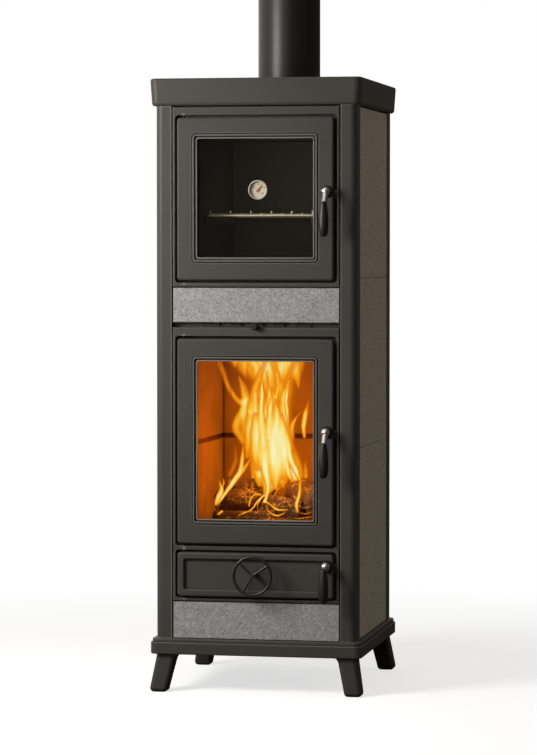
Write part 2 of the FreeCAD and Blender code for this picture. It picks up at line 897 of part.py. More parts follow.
def handle_boss(handle_z):
    """Round rose on the door's face and the bearing of the spindle behind it."""
    rose = front_disc(handle_x, handle_z, rose_radius, rose_front, plate_back)
    rose = rounded_edges(rose, rose_thickness / 2, at_y(rose_front))
    bearing = front_disc(handle_x, handle_z, boss_radius, plate_back - fuse_depth, rope_wall_back)
    return [rose, bearing]


def spindle_bore(handle_z):
    """Running bore of the latch spindle."""
    return front_disc(handle_x, handle_z, spindle_diameter / 2 + running_gap,
                      rose_front, rope_wall_back)


def glazed_door(z0, z1, window_bottom, window_top, handle_z):
    """Cast door with a window: face plate, rim, rope channel, hinge lugs and handle boss."""
    plate = front_slab(-door_half, door_half, z0, z1, -door_proud, plate_back, door_corner)
    plate = rounded_edges(plate, door_edge_round, at_y(-door_proud))
    rim = ring(door_half, z0, z1, door_rim_wall, plate_back, rim_back, door_corner)
    channel = ring(door_half - rope_inset + rope_wall, z0 + rope_inset - rope_wall,
                   z1 - rope_inset + rope_wall, 2 * rope_wall, plate_back, rope_wall_back,
                   rope_corner + rope_wall)
    door = joined([plate, rim, channel] + hinge_lugs(z0, z1) + handle_boss(handle_z))
    grow = bead_width + bead_gap
    hole_half = window_half + grow
    hole = front_slab(-hole_half, hole_half, z0 + window_bottom - grow, z1 - window_top + grow,
                      -door_proud, plate_back, bead_corner + bead_gap)
    cuts = [hole, rope_groove(z0, z1, rope_inset), spindle_bore(handle_z)] + pin_holes(z0, z1)
    door = door.cut(cuts)
    return rounded_edges(door, window_edge_round, lambda box: at_y(-door_proud)(box)
                         and max(-box.XMin, box.XMax) < hole_half + touch_gap)


def window_bead(z0, z1, window_bottom, window_top):
    """Raised metal bead that frames the glass from the front."""
    def band(extra, y0, y1, radius):
        return front_slab(-window_half - extra, window_half + extra,
                          z0 + window_bottom - extra, z1 - window_top + extra, y0, y1, radius)
    groove = bead_width - bead_ridge
    groove_y = -bead_proud + bead_groove_depth
    lip_y = -bead_proud + bead_lip_drop
    front = band(bead_width, -bead_proud, plate_back, bead_corner)
    front = front.cut(band(groove, -bead_proud, groove_y, bead_corner - bead_ridge + inner_round))
    flange = band(bead_flange - glass_gap, plate_back, glass_front, window_corner)
    lip = band(bead_lip, lip_y, groove_y, window_corner + bead_lip)
    opening = band(0.0, -bead_proud, glass_front, window_corner)
    bead = joined([front, flange, lip]).cut(opening)
    bead = rounded_edges(bead, bead_round, at_y(-bead_proud))
    return rounded_edges(bead, bead_lip_round, at_y(lip_y))


def door_glass(z0, z1, window_bottom, window_top):
    """Ceramic glass pane behind the bead."""
    extra = bead_flange - glass_gap
    return front_slab(-window_half - extra, window_half + extra, z0 + window_bottom - extra,
                      z1 - window_top + extra, glass_front, glass_back, window_corner)


def glass_clips(z0, z1):
    """Sheet metal angles on the rope channel that press the pane against the bead."""
    wall = door_half - rope_inset - rope_wall
    clips = []
    for share in clip_shares:
        z = z0 + (z1 - z0) * share
        toe = Part.makeBox(clip_toe, clip_sheet, clip_length, V(-wall, glass_back, z - clip_length / 2))
        heel = Part.makeBox(clip_sheet, clip_heel, clip_length, V(-wall, glass_back, z - clip_length / 2))
        clip = joined([toe, heel])
        clips.append(clip)
        clips.append(mirrored(clip))
    return group(clips)


def ash_door():
    """Cast ash door with a sunk panel, air inlets in its lower edge and a wheel bearing."""
    z0 = ash_door_z0
    z1 = ash_door_z1
    plate = front_slab(-door_half, door_half, z0, z1, -door_proud, plate_back, door_corner)
    plate = rounded_edges(plate, door_edge_round, at_y(-door_proud))
    panel_half = door_half - ash_panel_margin
    backing_inset = ash_panel_margin - ash_panel_backing
    backing = front_slab(-door_half + backing_inset, door_half - backing_inset, z0 + backing_inset,
                         z1 - backing_inset, plate_back, ash_panel_back)
    rim = ring(door_half, z0, z1, door_rim_wall, plate_back, rim_back, door_corner)
    channel = ring(door_half - rope_inset + rope_wall, z0 + ash_rope_inset - rope_wall,
                   z1 - ash_rope_inset + rope_wall, 2 * rope_wall, plate_back, rope_wall_back,
                   rope_corner + rope_wall)
    door = joined([plate, backing, rim, channel] + hinge_lugs(z0, z1))
    sunk = front_slab(-panel_half, panel_half, z0 + ash_panel_margin, z1 - ash_panel_margin,
                      -door_proud, ash_panel_front, ash_panel_corner)
    door = chamfered_edges(door.cut(sunk), ash_panel_bevel, lambda box: at_y(-door_proud)(box)
                           and max(-box.XMin, box.XMax) < panel_half + touch_gap)
    door = joined([door] + handle_boss(ash_handle_z))
    cuts = [rope_groove(z0, z1, ash_rope_inset), spindle_bore(ash_handle_z)] + pin_holes(z0, z1)
    cuts.append(front_disc(0, wheel_z, register_spindle / 2 + running_gap,
                           ash_panel_front, ash_panel_back))
    for i in range(inlet_slot_count):
        x = (i - (inlet_slot_count - 1) / 2) * inlet_slot_pitch
        cuts.append(Part.makeBox(inlet_slot_length, inlet_slot_height,
                                 ash_rope_inset + rope_wall + fuse_depth,
                                 V(x - inlet_slot_length / 2, rim_back, z0)))
    return door.cut(cuts)


def register_ports(y0, y1):
    """The ports of the air register, as cutters."""
    step = 360.0 / port_count
    return [sector(0, wheel_z, port_inner, port_outer, port_start + i * step, port_sweep, y0, y1)
            for i in range(port_count)]


def ash_door_liner():
    """Inner sheet of the ash door, with the fixed ports of the air register."""
    side = door_half - rope_inset - rope_wall - lining_gap
    inset = ash_rope_inset + rope_wall + lining_gap
    liner_back = liner_front + liner_thickness
    liner = front_slab(-side, side, ash_door_z0 + inset, ash_door_z1 - inset,
                       liner_front, liner_back, rope_corner - rope_wall)
    cuts = register_ports(liner_front, liner_back)
    cuts.append(front_disc(0, wheel_z, register_spindle / 2 + touch_gap, liner_front, liner_back))
    return liner.cut(cuts)


def air_register_disc():
    """Turning disc of the air register, on the spindle that carries the wheel."""
    y0 = liner_front + liner_thickness + touch_gap
    y1 = y0 + register_thickness
    disc = front_disc(0, wheel_z, register_radius, y0, y1).cut(register_ports(y0, y1))
    spindle = front_disc(0, wheel_z, register_spindle / 2, wheel_hub_front + wheel_hub_floor, y1)
    return joined([disc, spindle])


def air_wheel():
    """Open handwheel: a round rim on three spokes that meet on a slim hub."""
    rim_radius = wheel_radius - wheel_rim
    rim = Part.makeTorus(rim_radius, wheel_rim, V(0, wheel_rim_y, wheel_z), V(0, 1, 0))
    hub = front_disc(0, wheel_z, wheel_hub_radius, wheel_hub_front, wheel_hub_back)
    hub = rounded_edges(hub, wheel_hub_round, at_y(wheel_hub_front))
    spokes = []
    start = V(0, wheel_rim_y, wheel_z)
    for angle in spoke_angles:
        turn = math.radians(angle)
        end = V(rim_radius * math.cos(turn), wheel_rim_y, wheel_z + rim_radius * math.sin(turn))
        spokes.append(Part.makeCylinder(spoke_radius, (end - start).Length, start, end - start))
    wheel = joined([rim, hub] + spokes)
    bore = front_disc(0, wheel_z, register_spindle / 2, wheel_hub_front + wheel_hub_floor,
                      wheel_hub_back)
    return wheel.cut(bore)


# ---- Latch handles ----------------------------------------------------------------------
def neck(handle_z, drop):
    """Leaning neck between the spindle's round knuckle and the grip."""
    start = V(handle_x, -knuckle_centre, handle_z)
    end = V(handle_x, grip_y, handle_z - drop - neck_sink)
    return Part.makeCone(neck_radius, neck_tip_radius, (end - start).Length, start, end - start)


def latch_spindle(handle_z, drop):
    """Plated spindle: round knuckle and neck in front, shaft, and the tongue at its back."""
    knuckle = Part.makeSphere(knuckle_radius, V(handle_x, -knuckle_centre, handle_z))
    stem = front_disc(handle_x, handle_z, knuckle_stem, -knuckle_centre, rose_front)
    tongue_back = tongue_front + tongue_thickness
    shaft = front_disc(handle_x, handle_z, spindle_diameter / 2, -knuckle_centre, tongue_back)
    hub = front_disc(handle_x, handle_z, tongue_hub, tongue_front, tongue_back)
    bar = front_slab(handle_x, handle_x + tongue_reach, handle_z - tongue_width / 2,
                     handle_z + tongue_width / 2, tongue_front, tongue_back, tongue_round)
    return joined([knuckle, stem, shaft, neck(handle_z, drop), hub, bar])


def arc(centre, radius, start, end):
    """Arc in the plane of the grip's axis, angles in degrees from +x towards +z."""
    def point(angle):
        turn = math.radians(angle)
        return centre + V(radius * math.cos(turn), 0, radius * math.sin(turn))
    return Part.Arc(point(start), point((start + end) / 2), point(end)).toShape()


def handle_grip(handle_z, drop):
    """Drop-shaped hand grip that hangs in front of the door: three arcs that run into each other."""
    top = handle_z - drop
    belly = top - grip_belly_drop
    bottom = top - grip_length
    long_radius = (grip_belly_drop ** 2 + grip_radius ** 2 - grip_top_radius ** 2) / (
        2 * (grip_radius - grip_top_radius))
    long_angle = math.degrees(math.asin(grip_belly_drop / (long_radius - grip_top_radius)))
    tail_drop = belly - bottom - grip_tip_radius
    tail_radius = (grip_radius ** 2 + tail_drop ** 2 - grip_tip_radius ** 2) / (
        2 * (grip_radius - grip_tip_radius))
    tail_angle = math.degrees(math.asin(tail_drop / (tail_radius - grip_tip_radius)))
    centre = V(handle_x, grip_y, 0)
    edges = [arc(V(handle_x, grip_y, top), grip_top_radius, 90.0, long_angle),
             arc(V(handle_x + grip_radius - long_radius, grip_y, belly), long_radius, long_angle, 0.0),
             arc(V(handle_x + grip_radius - tail_radius, grip_y, belly), tail_radius, 0.0, -tail_angle),
             arc(V(handle_x, grip_y, bottom + grip_tip_radius), grip_tip_radius, -tail_angle, -90.0),
             Part.makeLine(V(handle_x, grip_y, bottom), V(handle_x, grip_y, top + grip_top_radius))]
    body = Part.Face(Part.Wire(edges)).revolve(centre, V(0, 0, 1), 360)
    return body.cut(neck(handle_z, drop))


# ---- Thermometer ------------------------------------------------------------------------
def thermometer_case():
    """Round cup with a rolled lip, and the stem and nut that hold it through the glass."""
    front = glass_front - case_depth
    inner = case_radius - case_wall
    cup = front_disc(dial_x, dial_z, case_radius, front, glass_front)
    cup = chamfered_edges(cup, case_chamfer, at_y(front))
    cup = cup.cut(front_disc(dial_x, dial_z, inner, front + case_wall, glass_front - case_back))
    cup = cup.cut(front_disc(dial_x, dial_z, inner - case_lip, front, front + case_wall))
    stem = front_disc(dial_x, dial_z, case_stem_radius, glass_front - case_back,
                      glass_front + case_stem_length)
    nut_face = Part.Face(Part.makePolygon(
        [V(dial_x + case_nut_radius * math.cos(math.radians(60 * i)), glass_back,
           dial_z + case_nut_radius * math.sin(math.radians(60 * i))) for i in range(7)]))
    nut = nut_face.extrude(V(0, case_nut_height, 0))
    return joined([cup, stem, nut])


def thermometer_dial():
    """Printed plate at the bottom of the case."""
    back = glass_front - case_back
    return front_disc(dial_x, dial_z, case_radius - case_wall - fit_gap, back - dial_thickness, back)


def thermometer_needle():
    """Needle with a round hub and a short tail."""
    back = glass_front - case_back - dial_thickness - needle_lift
    front = back - needle_thickness
    blade = Part.Face(Part.makePolygon([
        V(dial_x - needle_width, front, dial_z - needle_tail),
        V(dial_x + needle_width, front, dial_z - needle_tail),
        V(dial_x + needle_width / 4, front, dial_z + needle_length),
        V(dial_x - needle_width / 4, front, dial_z + needle_length),
        V(dial_x - needle_width, front, dial_z - needle_tail)])).extrude(V(0, needle_thickness, 0))
    hub = front_disc(dial_x, dial_z, needle_hub_radius, front - needle_thickness,
                     back + needle_lift - touch_gap)
    needle = joined([blade, hub])
    needle.rotate(V(dial_x, 0, dial_z), V(0, -1, 0), needle_turn)
    return needle


def thermometer_lens():
    """Flat glass in the case, behind its lip."""
    front = glass_front - case_depth + case_wall
    return front_disc(dial_x, dial_z, case_radius - case_wall - fit_gap, front, front + lens_thickness)


# ---- Secondary air ----------------------------------------------------------------------
def secondary_air_slide():
    """Strip that slides in a groove of the frame and covers the air ports."""
    strip = Part.makeBox(slide_length, slide_sheet, upper_stone_z0 - touch_gap - slide_z0,
                         V(-slide_length / 2, slide_y, slide_z0))
    return strip.cut(slide_ports(slide_y, slide_y + slide_sheet))


def secondary_air_knob():
    """Small turned knob on a thin stem, in the air slot."""
    back = -knob_gap
    front = back - knob_length
    knob = front_disc(0, knob_z, knob_radius, front, back)
    knob = chamfered_edges(knob, knob_front_chamfer, at_y(front))
    knob = chamfered_edges(knob, knob_back_chamfer, at_y(back))
    stem = front_disc(0, knob_z, knob_stem_radius, back, slide_y)
    return joined([knob, stem])


# ---- Oven -------------------------------------------------------------------------------
def oven_muffle():
    """Welded oven box, open at the front, with a flange that is bolted to the frame."""
    outer = Part.makeBox(2 * (oven_half_width + sheet), oven_back + sheet - frame_depth,
                         oven_roof_z - oven_floor_z + 2 * sheet,
                         V(-oven_half_width - sheet, frame_depth, oven_floor_z - sheet))
    outer = rounded_edges(outer, muffle_corner, lambda box: box.YMax - box.YMin > oven_back / 2)
    flange = front_slab(-oven_half_width - muffle_flange_width, oven_half_width + muffle_flange_width,
                        oven_floor_z - muffle_flange_width, oven_roof_z + muffle_flange_width,
                        frame_depth, muffle_face, muffle_flange_corner)
    inner = front_slab(-oven_half_width, oven_half_width, oven_floor_z, oven_roof_z,
                       frame_depth, oven_back, muffle_corner - sheet)
    return joined([outer, flange]).cut(inner)


def rack_runners():
    """Pair of sheet steel angles on the oven's side walls, which carry the rack."""
    ledge_top = rack_z - rack_wire / 2 - touch_gap
    length = rack_back - frame_depth - 2 * runner_inset
    start = frame_depth + runner_inset
    ledge = Part.makeBox(runner_width, length, runner_sheet,
                         V(-oven_half_width, start, ledge_top - runner_sheet))
    apron = Part.makeBox(runner_sheet, length, runner_height,
                         V(-oven_half_width + runner_width - runner_sheet, start,
                           ledge_top - runner_height))
    wall = Part.makeBox(runner_sheet, length, runner_height,
                        V(-oven_half_width, start, ledge_top - runner_sheet))
    runner = joined([ledge, apron, wall])
    return group([runner, mirrored(runner)])


def hooked_rod(x, z):
    """Rod of the rack whose front end turns up."""
    front = rack_front - rack_rod_overhang
    bend = V(x, front + rack_hook_bend, z + rack_hook_bend)
    slope = rack_hook_bend * math.sqrt(0.5)
    start = V(x, front + rack_hook_bend, z)
    end = V(x, front, z + rack_hook_bend)
    path = Part.Wire([Part.makeLine(V(x, rack_back + rack_rod_overhang, z), start),
                      Part.Arc(start, bend - V(0, slope, slope), end).toShape(),
                      Part.makeLine(end, V(x, front, z + rack_hook_rise))])
    return bent_bar(path, rack_rod / 2)


def oven_rack():
    """Wire rack: a rounded frame with rods on top of it, some of which turn up at the front."""
    path = rounded_wire(rectangle(-rack_half_width, rack_half_width, rack_front, rack_back, rack_corner),
                        level_plane(rack_z))
    frame = bent_bar(path, rack_wire / 2)
    rods = []
    pitch = 2 * (rack_half_width - rack_corner) / (rack_rod_count - 1)
    rod_z = rack_z + rack_wire / 2 + rack_rod / 2 - rack_rod_sink
    for i in range(rack_rod_count):
        x = -rack_half_width + rack_corner + i * pitch
        if i % rack_hook_step:
            rods.append(front_disc(x, rod_z, rack_rod / 2, rack_front - rack_rod_overhang,
                                   rack_back + rack_rod_overhang))
        else:
            rods.append(hooked_rod(x, rod_z))
    middle = (rack_front + rack_back) / 2
    brace = Part.makeCylinder(rack_rod / 2, 2 * rack_half_width,
                              V(-rack_half_width, middle, rack_z), V(1, 0, 0))
    return joined([frame, brace] + rods)


def smoke_jacket():
    """Welded shell round the oven, which leads the smoke past it to the flue."""
    outer = Part.makeBox(2 * shell_half_width, jacket_back - muffle_face,
                         top_z1 - slab_wall - upper_stone_z0,
                         V(-shell_half_width, muffle_face, upper_stone_z0))
    inner = Part.makeBox(2 * shell_inner, jacket_back - muffle_face - 2 * sheet,
                         top_z1 - slab_wall - upper_stone_z0 - sheet,
                         V(-shell_inner, muffle_face + sheet, upper_stone_z0 + sheet))
    throat = Part.makeBox(2 * shell_inner, firebox_back - muffle_face - 2 * sheet, sheet,
                          V(-shell_inner, muffle_face + sheet, upper_stone_z0))
    gap = sheet + lining_gap
    door_hole = front_slab(-oven_half_width - gap, oven_half_width + gap, oven_floor_z - gap,
                           oven_roof_z + gap, muffle_face, muffle_face + sheet, muffle_corner)
    return outer.cut([inner, throat, door_hole])


# ---- Firebox ----------------------------------------------------------------------------
def firebox_shell():
    """Welded firebox: four walls, a floor, the ash pit's shelf and ledges for the hearth."""
    height = upper_stone_z0 - base_top
    depth = firebox_back - frame_depth
    outer = Part.makeBox(2 * shell_half_width, depth, height, V(-shell_half_width, frame_depth, base_top))
    inner = Part.makeBox(2 * shell_inner, depth - 2 * sheet, height - sheet,
                         V(-shell_inner, frame_depth + sheet, base_top + sheet))
    side = seal_half + lining_gap
    fire_hole = front_slab(-side, side, fire_door_z0 + rope_inset + rope_land - lining_gap,
                           fire_door_z1 - rope_inset - rope_land + lining_gap,
                           frame_depth, frame_depth + sheet, shell_hole_round)
    ash_hole = front_slab(-side, side, ash_floor_z, ash_roof_z,
                          frame_depth, frame_depth + sheet, shell_hole_round)
    walls = outer.cut([inner, fire_hole, ash_hole])
    shelf = Part.makeBox(2 * shell_inner, depth - 2 * sheet, sheet,
                         V(-shell_inner, frame_depth + sheet, ash_floor_z - sheet))
    ledge_z = hearth_z - hearth_thickness - ledge_thickness
    ledges = []
    for x in (-shell_inner, shell_inner - ledge_width):
        ledges.append(Part.makeBox(ledge_width, depth - 2 * sheet, ledge_thickness,
                                   V(x, frame_depth + sheet, ledge_z)))
    return joined([walls, shelf] + ledges)


def hearth_plate():
    """Cast floor of the firebox, with a stepped hole for the grate."""
    y0 = frame_depth + sheet + lining_gap
    y1 = firebox_back - sheet - lining_gap
    half = shell_inner - lining_gap
    plate = Part.makeBox(2 * half, y1 - y0, hearth_thickness, V(-half, y0, hearth_z - hearth_thickness))
    step = level_slab(-grate_width / 2 - lining_gap, grate_width / 2 + lining_gap,
                      grate_front - lining_gap, grate_front + grate_depth + lining_gap,
                      hearth_z - grate_rebate, hearth_z, grate_corner + lining_gap)
    well = level_slab(-grate_width / 2 + grate_rebate, grate_width / 2 - grate_rebate,
                      grate_front + grate_rebate, grate_front + grate_depth - grate_rebate,
                      hearth_z - hearth_thickness, hearth_z, grate_corner)
    return plate.cut([step, well])


def fire_grate():
    """Cast grate with long slots, ribbed below."""
    y0 = grate_front
    y1 = y0 + grate_depth
    rim = level_slab(-grate_width / 2, grate_width / 2, y0, y1, hearth_z - grate_rebate, hearth_z,
                     grate_corner)
    inset = grate_rebate + lining_gap
    web = level_slab(-grate_width / 2 + inset, grate_width / 2 - inset, y0 + inset, y1 - inset,
                     hearth_z - grate_thickness, hearth_z - grate_rebate, grate_corner)
    grate = joined([rim, web])
    slots = []
    middle = (y0 + y1) / 2
    for i in range(grate_slot_count):
        x = (i - (grate_slot_count - 1) / 2) * grate_slot_pitch
        for low, high in ((y0 + grate_rim, middle - grate_rib_width / 2),
                          (middle + grate_rib_width / 2, y1 - grate_rim)):
            slots.append(level_slab(x - grate_slot / 2, x + grate_slot / 2, low, high,
                                    hearth_z - grate_thickness, hearth_z, grate_slot / 2))
    return grate.cut(slots)


def lining_courses(x0, x1, y0, y1):
    """Two fire bricks, one on the other, in one wall of the lining."""
    lower = Part.makeBox(x1 - x0, y1 - y0, lining_seam_z - hearth_z, V(x0, y0, hearth_z))
    upper = Part.makeBox(x1 - x0, y1 - y0, lining_top_z - lining_seam_z, V(x0, y0, lining_seam_z))
    return group([chamfered_edges(brick, lining_seam, at_z(lining_seam_z)) for brick in (lower, upper)])


def side_lining():
    """Fire bricks of the left wall."""
    return lining_courses(-chamber_half_width - lining_thickness, -chamber_half_width,
                          frame_depth + sheet + lining_gap, firebox_back - sheet - lining_gap)


def back_lining():
    """Fire bricks of the back wall, between the side bricks."""
    half = chamber_half_width - lining_gap
    courses = lining_courses(-half, half, chamber_back, chamber_back + lining_thickness)
    return group([chamfered_edges(brick, lining_edge, upright_at(half, chamber_back))
                  for brick in courses.Solids])


def baffle_plate():
    """Board over the fire that rests on the bricks and sends the smoke to the front."""
    half = shell_inner - lining_gap
    board = Part.makeBox(2 * half, firebox_back - sheet - lining_gap - baffle_front, baffle_thickness,
                         V(-half, baffle_front, lining_top_z))
    return chamfered_edges(board, baffle_chamfer,
                           lambda box: at_y(baffle_front)(box) and at_z(lining_top_z)(box))


def ash_pan():
    """Pressed steel pan with a folded grip at its front edge."""
    z0 = ash_floor_z + touch_gap
    z1 = z0 + pan_height
    outer = level_slab(-pan_half_width, pan_half_width, pan_front, pan_back, z0, z1, pan_corner)
    inner = level_slab(-pan_half_width + pan_sheet, pan_half_width - pan_sheet, pan_front + pan_sheet,
                       pan_back - pan_sheet, z0 + pan_sheet, z1, pan_corner - pan_sheet)
    grip = Part.makeBox(pan_grip_width, pan_grip_reach, pan_sheet,
                        V(-pan_grip_width / 2, pan_front - pan_grip_reach, z1 - pan_sheet))
    fold = Part.makeBox(pan_grip_width, pan_sheet, pan_grip_reach,
                        V(-pan_grip_width / 2, pan_front - pan_grip_reach, z1 - pan_grip_reach))
    return joined([outer.cut(inner), grip, fold])


# ---- Flue -------------------------------------------------------------------------------
def flue_collar():
    """Cast collar on the top plate, whose spigot goes inside the pipe."""
    flange_radius = flue_diameter / 2 + collar_flange_width
    z0 = top_z1
    z1 = z0 + collar_flange
    z2 = z1 + collar_spigot
    y = flue_y
    points = [V(collar_bore_radius, y, z0), V(flange_radius, y, z0),
              V(flange_radius, y, z1 - collar_chamfer), V(flange_radius - collar_chamfer, y, z1),
              V(spigot_radius, y, z1), V(spigot_radius, y, z2 - spigot_chamfer),
              V(spigot_radius - spigot_chamfer, y, z2), V(collar_bore_radius, y, z2)]
    return turned(points, V(0, y, 0), V(0, 0, 1))


def flue_pipe():
    """Stove pipe with a widened socket at its top for the next length."""
    outer = flue_diameter / 2
    inner = outer - flue_wall
    socket_inner = outer + flue_socket_gap
    socket_outer = socket_inner + flue_wall
    z0 = top_z1 + collar_flange
    z3 = z0 + flue_length
    z2 = z3 - flue_socket_length
    z1 = z2 - 3 * flue_wall
    y = flue_y
    points = [V(inner, y, z0), V(outer, y, z0), V(outer, y, z1), V(socket_outer, y, z2 - flue_wall),
              V(socket_outer, y, z3), V(socket_inner, y, z3), V(socket_inner, y, z2), V(inner, y, z2)]
    return turned(points, V(0, y, 0), V(0, 0, 1))


# ---- Everything -------------------------------------------------------------------------
def save_casing():
    """Legs, base, posts, top, rods and back."""
    front_leg = leg()
    back_leg = rear_leg(front_leg)
    save("leg_front_left", front_leg)
    save("leg_front_right", mirrored(front_leg))
    save("leg_rear_left", back_leg)
    save("leg_rear_right", mirrored(back_leg))
    save("base_plate", base_plate())
    save("top_plate", top_plate())
    save("tie_rods", tie_rods())
    save("post_front_left", front_post())
    save("post_front_right", mirrored(front_post()))
    save("post_rear_left", rear_post())
    save("post_rear_right", mirrored(rear_post()))
    save("back_panel", back_panel())


def save_cladding():
    """Stones and the two front frames."""
    save("side_stones_left", side_stones())
    save("side_stones_right", mirrored(side_stones()))
    save("front_stone_upper", front_stone(upper_stone_z0, upper_stone_z1))
    save("front_stone_lower", front_stone(base_top, lower_stone_top))
    save("oven_front_frame", oven_front_frame())
    save("fire_front_frame", fire_front_frame())
    save("hinge_pins", hinge_pins())


def save_inside():
    """Oven, smoke path, firebox and flue."""
    save("oven_muffle", oven_muffle())
    save("rack_runners", rack_runners())
    save("oven_rack", oven_rack())
    save("smoke_jacket", smoke_jacket())
    save("firebox_shell", firebox_shell())
    save("hearth_plate", hearth_plate())
    save("fire_grate", fire_grate())
    save("lining_left", side_lining())
    save("lining_right", mirrored(side_lining()))
    save("lining_back", back_lining())
    save("baffle_plate", baffle_plate())
    save("ash_pan", ash_pan())
    save("flue_collar", flue_collar())
    save("flue_pipe", flue_pipe())


def save_glazed_door(name, z0, z1, window_bottom, window_top, handle_z):
    """One door with a window, and the pieces it carries."""
    glass = door_glass(z0, z1, window_bottom, window_top)
    if z0 < dial_z < z1:
        glass = glass.cut(front_disc(dial_x, dial_z, case_stem_radius + fit_gap, glass_front, glass_back))
    save(name + "_door", glazed_door(z0, z1, window_bottom, window_top, handle_z))
    save(name + "_window_bead", window_bead(z0, z1, window_bottom, window_top))
    save(name + "_door_glass", glass)
    save(name + "_glass_clips", glass_clips(z0, z1))
    save(name + "_door_rope", rope_seal(z0, z1, rope_inset))
    save(name + "_latch_spindle", latch_spindle(handle_z, grip_drop))
    save(name + "_handle_grip", handle_grip(handle_z, grip_drop))


def save_ash_door():
    """The ash door with its latch, air register and wheel."""
    save("ash_door", ash_door())
    save("ash_door_liner", ash_door_liner())
    save("ash_door_rope", rope_seal(ash_door_z0, ash_door_z1, ash_rope_inset))
    save("ash_latch_spindle", latch_spindle(ash_handle_z, ash_grip_drop))
    save("ash_handle_grip", handle_grip(ash_handle_z, ash_grip_drop))
    save("air_wheel", air_wheel())
    save("air_register_disc", air_register_disc())


def save_controls():
    """Thermometer and secondary air."""
    save("thermometer_case", thermometer_case())
    save("thermometer_dial", thermometer_dial())
    save("thermometer_needle", thermometer_needle())
    save("thermometer_lens", thermometer_lens())
    save("secondary_air_slide", secondary_air_slide())
    save("secondary_air_knob", secondary_air_knob())


def main():
    """Write every node."""
    os.makedirs("parts", exist_ok=True)
    save_casing()
    save_cladding()
    save_inside()
    save_glazed_door("oven", oven_door_z0, oven_door_z1, oven_window_bottom, oven_window_top, oven_handle_z)
    save_glazed_door("fire", fire_door_z0, fire_door_z1, fire_window_bottom, fire_window_top, fire_handle_z)
    save_ash_door()
    save_controls()


main()
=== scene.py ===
"""Looks of a tall wood stove of cast iron and soapstone, with a baking oven over its firebox.

Every length is in metres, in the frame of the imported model: +Z up, the doors face -Y.
"""
import logging
import math
from dataclasses import dataclass, field
from enum import Enum
from typing import Any, Sequence

import bpy
import numpy as np
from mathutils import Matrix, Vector


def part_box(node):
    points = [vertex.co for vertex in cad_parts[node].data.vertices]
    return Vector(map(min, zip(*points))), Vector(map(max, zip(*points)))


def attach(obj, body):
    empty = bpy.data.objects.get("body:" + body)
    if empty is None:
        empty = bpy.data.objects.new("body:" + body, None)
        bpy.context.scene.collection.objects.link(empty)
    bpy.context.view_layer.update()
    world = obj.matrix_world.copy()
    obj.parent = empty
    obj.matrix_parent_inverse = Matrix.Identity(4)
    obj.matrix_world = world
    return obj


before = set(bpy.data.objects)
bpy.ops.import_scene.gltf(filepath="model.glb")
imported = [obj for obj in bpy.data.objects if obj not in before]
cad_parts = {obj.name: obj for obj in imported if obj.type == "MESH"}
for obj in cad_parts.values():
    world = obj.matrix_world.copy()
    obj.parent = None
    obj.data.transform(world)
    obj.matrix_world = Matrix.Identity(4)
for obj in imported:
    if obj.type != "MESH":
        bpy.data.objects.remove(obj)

log = logging.getLogger("stove")
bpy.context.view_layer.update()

Tree = bpy.types.NodeTree
Socket = bpy.types.NodeSocket
Colour = tuple[float, float, float, float]
WHITE: Colour = (1.0, 1.0, 1.0, 1.0)
# near black of the painted shade in joints and nooks
PAINTED_SHADE_BLACK: Colour = (0.002, 0.002, 0.002, 1.0)


class Body(Enum):
    """Bodies of the stove that new pieces ride on."""

    STOVE = "stove"
    OVEN_DOOR = "oven_door"


class Side(Enum):
    """Left and right of the stove, seen from the front."""

    LEFT = -1
    RIGHT = 1


class Easing(Enum):
    """How a value is carried from one range to another."""

    STRAIGHT = "LINEAR"
    SOFT = "SMOOTHSTEP"


# ---- Colour and nodes -------------------------------------------------------------------
def linear(shade: str) -> Colour:
    """Turn an sRGB hex colour into linear light.

    Args:
        shade: Colour such as "#52504a".

    Returns:
        Red, green, blue and an alpha of 1.
    """
    parts = [int(shade[i:i + 2], 16) / 255 for i in (1, 3, 5)]
    red, green, blue = [p / 12.92 if p <= 0.04045 else ((p + 0.055) / 1.055) ** 2.4 for p in parts]
    return red, green, blue, 1.0


def add_node(tree: Tree, kind: str, values: dict[Any, Any] | None = None) -> bpy.types.Node:
    """Add one node.

    Args:
        tree: Tree that the node goes into.
        kind: Blender's name of the node type, less the ShaderNode at its start.
        values: What its properties and inputs get, by name or number; a socket is linked.

    Returns:
        The node.
    """
    node = tree.nodes.new("ShaderNode" + kind)
    for key, value in (values or {}).items():
        if isinstance(value, Socket):
            tree.links.new(value, node.inputs[key])
        elif isinstance(key, str) and key in node.bl_rna.properties:
            setattr(node, key, value)
        else:
            node.inputs[key].default_value = value
    return node


def add_object(name: str, data: bpy.types.ID) -> bpy.types.Object:
    """Put a mesh, text, lamp or camera into the scene."""
    made = bpy.data.objects.new(name, data)
    bpy.context.scene.collection.objects.link(made)
    return made


def place(tree: Tree, stretch: tuple[float, float, float] = (1.0, 1.0, 1.0)) -> Socket:
    """Object coordinates, each axis multiplied by its stretch."""
    where = add_node(tree, "TexCoord").outputs["Object"]
    return add_node(tree, "Mapping", {"Scale": stretch, "Vector": where}).outputs[0]


def along(tree: Tree, where: Socket, axis: int) -> Socket:
    """One coordinate of a place."""
    return add_node(tree, "SeparateXYZ", {0: where}).outputs[axis]


def noise(tree: Tree, where: Socket, scale: float, detail: float, roughness: float = 0.5,
          distortion: float = 0.0, output: str = "Fac") -> Socket:
    """Fractal noise from 0 to 1; scale counts its lumps in a metre."""
    return add_node(tree, "TexNoise", {
        "Scale": scale, "Detail": detail, "Vector": where, "Roughness": roughness,
        "Distortion": distortion}).outputs[output]


def calc(tree: Tree, operation: str, *values: Socket | float, clamp: bool = False) -> Socket:
    """Result of one sum, product or comparison of up to three values."""
    return add_node(tree, "Math", {"operation": operation, "use_clamp": clamp,
                                   **dict(enumerate(values))}).outputs[0]


